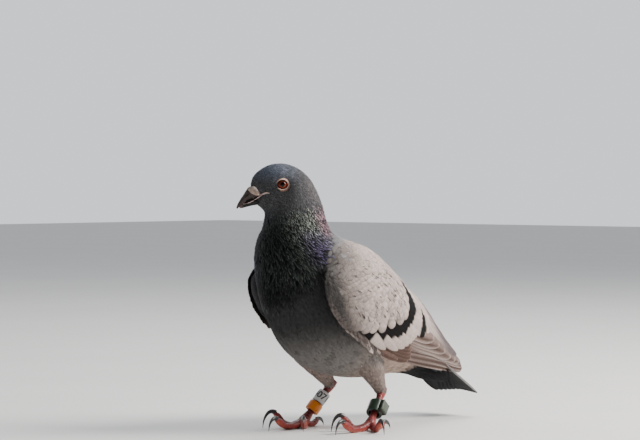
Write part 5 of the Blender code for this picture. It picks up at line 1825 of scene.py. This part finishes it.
def make_claws(bare):
    """Eight long curved claws: each leaves its toe pointing a little up and curls down to the ground."""
    finish = claw_finish(bare)
    share = np.linspace(0, 1, 28)
    turn = CLAW_SWEEP * share - CLAW_LIFT
    radii = CLAW_RADIUS * (1 - 0.93 * share**1.25)
    for side in LEG_POINTS:
        for toe, (length, _, lift, _) in TOES.items():
            root_height = toe_rows(side, toe)[-1][1]
            bend = CLAW_LENGTH * (0.55 + 0.45 * lift) / CLAW_SWEEP
            forward = bend * (np.sin(turn) + math.sin(CLAW_LIFT))
            drop = bend * (math.cos(CLAW_LIFT) - np.cos(turn))
            floor = root_height - radii[-1]
            line = at_toe(side, toe, length - CLAW_INSET + forward, root_height - drop * floor / drop[-1])
            bm = extrude_along(tube_rings(line, radii, 18, 1.25))
            points = numbers_of(bm)
            points[:, 2] = np.maximum(points[:, 2], 0.0)
            move_to(bm, points)
            end = toe + "_" + side
            piece_from(bm, "nail_" + end, finish, "claw_black", "claw_" + end)


# ---------------------------------------------------------------- leg rings


def plastic_finish(name, colour, roughness, wear=0.12):
    finish = Finish(name, roughness, Coat_Weight=0.25, Coat_Roughness=0.25)
    scuff = finish.noise(700.0, 5.0)
    worn = tuple(c * 0.6 + 0.05 for c in colour)
    tone = finish.blend(finish.map(scuff, 0.45, 0.75, 0.0, wear * 4), colour, worn)
    return finish.done(tone, scuff, 0.15, 0.0002)


def ring_place(name):
    """The ring's middle and its axis, up along the shank."""
    leg, share, _, _, _ = RINGS[name]
    hock, pad, _ = leg_joints(leg)
    return hock + (pad - hock) * share, (hock - pad) / np.linalg.norm(hock - pad)


def turn_to(axis, spin=0.0):
    """The turn that brings the Z axis to an axis, after a spin about it."""
    towards = Vector(axis).to_track_quat("Z", "Y").to_matrix()
    return towards @ Matrix.Rotation(spin, 3, "Z")


def make_ring(name, slot, finish, rounding=0.5):
    """A ring with rounded edges, wider at its bore's two ends, in its place on the shank."""
    _, _, height, outer, bore = RINGS[name]
    half = height / 2
    bends = np.linspace(0, math.pi / 2, 6)
    upper = [(outer - rounding * (1 - math.cos(b)), half - rounding * (1 - math.sin(b))) for b in bends]
    lower = [(out, -along) for out, along in reversed(upper)]
    corner = rounding * 0.4
    inner = [(bore + corner, half), (bore, half - corner), (bore, -half + corner), (bore + corner, -half)]
    outline = lower + upper + inner
    bm = turned_outline(outline + outline[:1], 96)
    middle, axis = ring_place(name)
    set_down(bm, turn_to(axis), middle)
    piece_from(bm, "leg_" + name, finish, slot, name)


def make_rings(bare):
    white = plastic_finish("ring_white_plastic", bare.ring_white, 0.35)
    make_ring("ring_white", "ring_white", white)
    make_ring_number(bare)
    orange = plastic_finish("ring_orange_plastic", bare.ring_orange, 0.32, 0.05)
    make_ring("ring_orange", "ring_orange", orange)
    make_chip_ring(bare)


DIGIT_HEIGHT = 5.2
NUMBER_FACES = (0.86, 0.51)  # where the number's middle faces: forward, left


def make_ring_number(bare):
    """Plain black numbers that run round the white ring."""
    outer = RINGS["ring_white"][3]
    middle, axis = ring_place("ring_white")
    curve = bpy.data.curves.new("ring_number", "FONT")
    curve.body = bare.ring_number
    curve.align_x, curve.align_y = "CENTER", "CENTER"
    curve.size = DIGIT_HEIGHT * 1.35
    curve.extrude = 0.12
    curve.offset = 0.12
    text = added("ring_number", curve)
    graph = bpy.context.evaluated_depsgraph_get()
    mesh = bpy.data.meshes.new_from_object(text.evaluated_get(graph))
    bpy.data.objects.remove(text)
    bm = bmesh.new()
    bm.from_mesh(mesh)
    bmesh.ops.remove_doubles(bm, verts=bm.verts, dist=1e-4)
    across = numbers_of(bm)[:, 0]
    for cut in np.arange(across.min(), across.max(), 0.35)[1:]:
        everything = bm.verts[:] + bm.edges[:] + bm.faces[:]
        bmesh.ops.bisect_plane(bm, geom=everything, plane_co=(cut, 0, 0), plane_no=(1, 0, 0))
    across, up, out = numbers_of(bm).T
    angle, reach = across / outer, outer - 0.06 + out
    move_to(bm, np.stack([reach * np.cos(angle), reach * np.sin(angle), up], -1) * MM)
    faces = turn_to(axis).transposed() @ Vector(place(*NUMBER_FACES, 0.0))
    set_down(bm, turn_to(axis, math.atan2(faces.y, faces.x)), middle)
    ink = plastic_finish("ring_number_ink", (0.02, 0.02, 0.022), 0.5)
    piece_from(bm, "leg_ring_number", ink, "ring_white", sharp=30)


def make_chip_ring(bare):
    """The dark ring with a flat housing on its outer side, ribbed down its face; the face is a lighter green,
    and its ribs are painted light as highlights.
    """
    _, _, height, outer, _ = RINGS["ring_chip"]
    green = plastic_finish("chip_ring_plastic", bare.ring_green, 0.3, 0.08)
    make_ring("ring_chip", "ring_green", green, 0.4)
    middle, axis = ring_place("ring_chip")
    width, stand = CHIP_BOX
    outward = place(*CHIP_BOX_SIDE, 0.0)
    outward = outward - axis * (outward * axis).sum()
    outward /= np.linalg.norm(outward)
    turn = Matrix((np.cross(outward, axis), outward, axis)).transposed()
    at = middle + outward * (outer + stand / 2 - 1.1) * MM
    # The face's lighter green, also painted on the ribs as their highlights
    pale = plastic_finish("chip_face_highlight_plastic", bare.ring_face_and_highlight, 0.45, 0.15)
    rib, rib_out = (0.5, 0.8, height - 1.6), width / 2 - 0.55
    for part, sizes, across, out, bevel, finish in (
        ("housing", (width, stand, height - 0.8), 0.0, 0.0, 0.5, green),
        ("face", (width - 1.8, 0.7, height - 2.4), 0.0, stand / 2, 0.22, pale),
        ("rib_0", rib, -rib_out, stand / 2, 0.18, pale),
        ("rib_1", rib, rib_out, stand / 2, 0.18, pale),
    ):
        bm = bmesh.new()
        bmesh.ops.create_cube(bm, size=MM)
        bmesh.ops.scale(bm, verts=bm.verts, vec=sizes)
        bmesh.ops.bevel(bm, geom=bm.edges[:], offset=bevel * MM, affect="EDGES", segments=3, profile=0.5,
                        material=-1)
        bmesh.ops.translate(bm, verts=bm.verts, vec=(across * MM, out * MM, 0))
        set_down(bm, turn, at)
        piece_from(bm, "chip_" + part, finish, "ring_green", sharp=40)


# ---------------------------------------------------------------- stage


def area_light(name, at, towards, width, power, colour):
    data = bpy.data.lights.new(name, "AREA")
    data.shape = "DISK"
    data.size = width
    data.energy = power
    data.color = colour
    light = added(name, data)
    light.location = at
    light.rotation_euler = (towards - at).to_track_quat("-Z", "Y").to_euler()


CAMERA_AZIMUTH = math.radians(42)  # to the bird's left of straight ahead of it
CAMERA_LENS, CAMERA_SHIFT = 133.9, -0.0656


def make_stage(stage):
    """A pale floor, soft light from above and behind, and the level camera."""
    bm = bmesh.new()
    bmesh.ops.create_grid(bm, x_segments=8, y_segments=8, size=stage.floor_size / 2)
    floor = added("floor", mesh_of(bm, "floor"))
    finish = Finish("floor_paint", 0.7)
    tone = finish.map(finish.noise(6.0, 5.0), 0.3, 0.7)
    finish.done(finish.blend(tone, scaled(stage.floor, 0.96), stage.floor))
    floor.data.materials.append(finish.material)
    ahead = Vector((math.sin(CAMERA_AZIMUTH), -math.cos(CAMERA_AZIMUTH), 0))
    up = Vector((0, 0, 1))
    right = up.cross(ahead)
    lens = bpy.data.cameras.new("camera")
    lens.lens = CAMERA_LENS
    lens.shift_y = CAMERA_SHIFT
    lens.clip_start = 0.05
    camera = added("camera", lens)
    camera.location = Vector(SHIFT) + up * stage.camera_height + ahead * stage.camera_away
    camera.rotation_euler = (-ahead).to_track_quat("-Z", "Y").to_euler()
    bpy.context.scene.camera = camera
    middle = Vector(SHIFT) + up * 0.1
    for name, to_right, nearer, higher, width, power, colour in (
        ("key", 0.5, -1.1, 1.6, 1.3, stage.key, (1.0, 0.97, 0.95)),
        ("fill", -0.9, 1.6, 0.8, 1.4, stage.fill, (0.95, 0.97, 1.0)),
        ("window", 1.05, 0.13, 0.8, 0.75, stage.window, (1.0, 0.95, 0.90)),
    ):
        at = middle + right * to_right + ahead * nearer + up * higher
        area_light(name, at, middle, width, power, colour)
    world = bpy.data.worlds.new("studio")
    bpy.context.scene.world = world
    world.use_nodes = True
    nodes, links = world.node_tree.nodes, world.node_tree.links
    away = nodes.new("ShaderNodeVectorMath")
    away.operation = "DOT_PRODUCT"
    away.inputs[1].default_value = Vector((-ahead.x, -ahead.y, 0.35))
    brighter = nodes.new("ShaderNodeMapRange")
    for socket, value in zip(brighter.inputs[1:5], (-0.3, 0.9, 0.07 * stage.sky, 1.15 * stage.sky)):
        socket.default_value = value
    background = nodes["Background"]
    background.inputs["Color"].default_value = (0.88, 0.91, 0.95, 1)
    links.new(nodes.new("ShaderNodeTexCoord").outputs["Generated"], away.inputs[0])
    links.new(away.outputs["Value"], brighter.inputs["Value"])
    links.new(brighter.outputs["Result"], background.inputs["Strength"])


# ---------------------------------------------------------------- operators and panel


class Maker:
    """What the operators share: each makes its pieces from its own group of settings."""

    def execute(self, context):
        for make in self.steps:
            make(getattr(context.scene, self.group))
        return {"FINISHED"}


class PIGEON_OT_skin(Maker, Operator):
    """Makes the skin under the feathers"""
    bl_idname = "pigeon.skin"
    bl_label = "Skin"
    group = "pigeon_plumage"
    steps = (make_skin,)


class PIGEON_OT_body_feathers(Maker, Operator):
    """Lays the small feathers of the head, neck, trunk and thighs"""
    bl_idname = "pigeon.body_feathers"
    bl_label = "Body feathers"
    group = "pigeon_plumage"
    steps = (
        make_head_feathers,
        make_neck_hackles,
        make_underside_feathers,
        make_back_feathers,
        make_thigh_feathers,
    )


class PIGEON_OT_wings(Maker, Operator):
    """Lays the coverts, bars and flight feathers of both folded wings"""
    bl_idname = "pigeon.wings"
    bl_label = "Wings"
    group = "pigeon_plumage"
    steps = (
        make_wing_coverts,
        make_edge_feathers,
        make_barred_feathers,
        make_flight_feathers,
        make_shoulder_feathers,
    )


class PIGEON_OT_tail(Maker, Operator):
    """Lays the tail feathers and their coverts"""
    bl_idname = "pigeon.tail"
    bl_label = "Tail"
    group = "pigeon_plumage"
    steps = (make_tail,)


class PIGEON_OT_face(Maker, Operator):
    """Makes the bill, cere, mouth and eyes"""
    bl_idname = "pigeon.face"
    bl_label = "Face"
    group = "pigeon_bare"
    steps = (make_bill, make_cere, make_gape, make_eyes)


class PIGEON_OT_feet(Maker, Operator):
    """Makes the scaly shanks and toes and their claws"""
    bl_idname = "pigeon.feet"
    bl_label = "Feet"
    group = "pigeon_bare"
    steps = (make_feet, make_claws)


class PIGEON_OT_rings(Maker, Operator):
    """Makes the three leg rings"""
    bl_idname = "pigeon.rings"
    bl_label = "Leg rings"
    group = "pigeon_bare"
    steps = (make_rings,)


class PIGEON_OT_stage(Maker, Operator):
    """Makes the floor, lights and camera"""
    bl_idname = "pigeon.stage"
    bl_label = "Stage"
    group = "pigeon_stage"
    steps = (make_stage,)


MAKERS = (
    PIGEON_OT_skin,
    PIGEON_OT_body_feathers,
    PIGEON_OT_wings,
    PIGEON_OT_tail,
    PIGEON_OT_face,
    PIGEON_OT_feet,
    PIGEON_OT_rings,
    PIGEON_OT_stage,
)


class PIGEON_PT_panel(Panel):
    """The steps of the pigeon and the values they use"""
    bl_label = "Pigeon"
    bl_space_type = "VIEW_3D"
    bl_region_type = "UI"
    bl_category = "Pigeon"

    def draw(self, context):
        for maker in MAKERS:
            self.layout.operator(maker.bl_idname)
        for settings in ("pigeon_plumage", "pigeon_bare", "pigeon_stage"):
            group = getattr(context.scene, settings)
            box = self.layout.box()
            for title in group.__annotations__:
                box.prop(group, title)


CLASSES = (PlumageSettings, BareSettings, StageSettings, *MAKERS, PIGEON_PT_panel)


def register():
    for cls in CLASSES:
        bpy.utils.register_class(cls)
    bpy.types.Scene.pigeon_plumage = PointerProperty(type=PlumageSettings)
    bpy.types.Scene.pigeon_bare = PointerProperty(type=BareSettings)
    bpy.types.Scene.pigeon_stage = PointerProperty(type=StageSettings)


def unregister():
    del bpy.types.Scene.pigeon_plumage
    del bpy.types.Scene.pigeon_bare
    del bpy.types.Scene.pigeon_stage
    for cls in reversed(CLASSES):
        bpy.utils.unregister_class(cls)


def main():
    register()
    for step in ("skin", "body_feathers", "wings", "tail", "face", "feet", "rings", "stage"):
        if getattr(bpy.ops.pigeon, step)() != {"FINISHED"}:
            raise RuntimeError("the step " + step + " didn't finish")


if __name__ == "__main__":
    main()
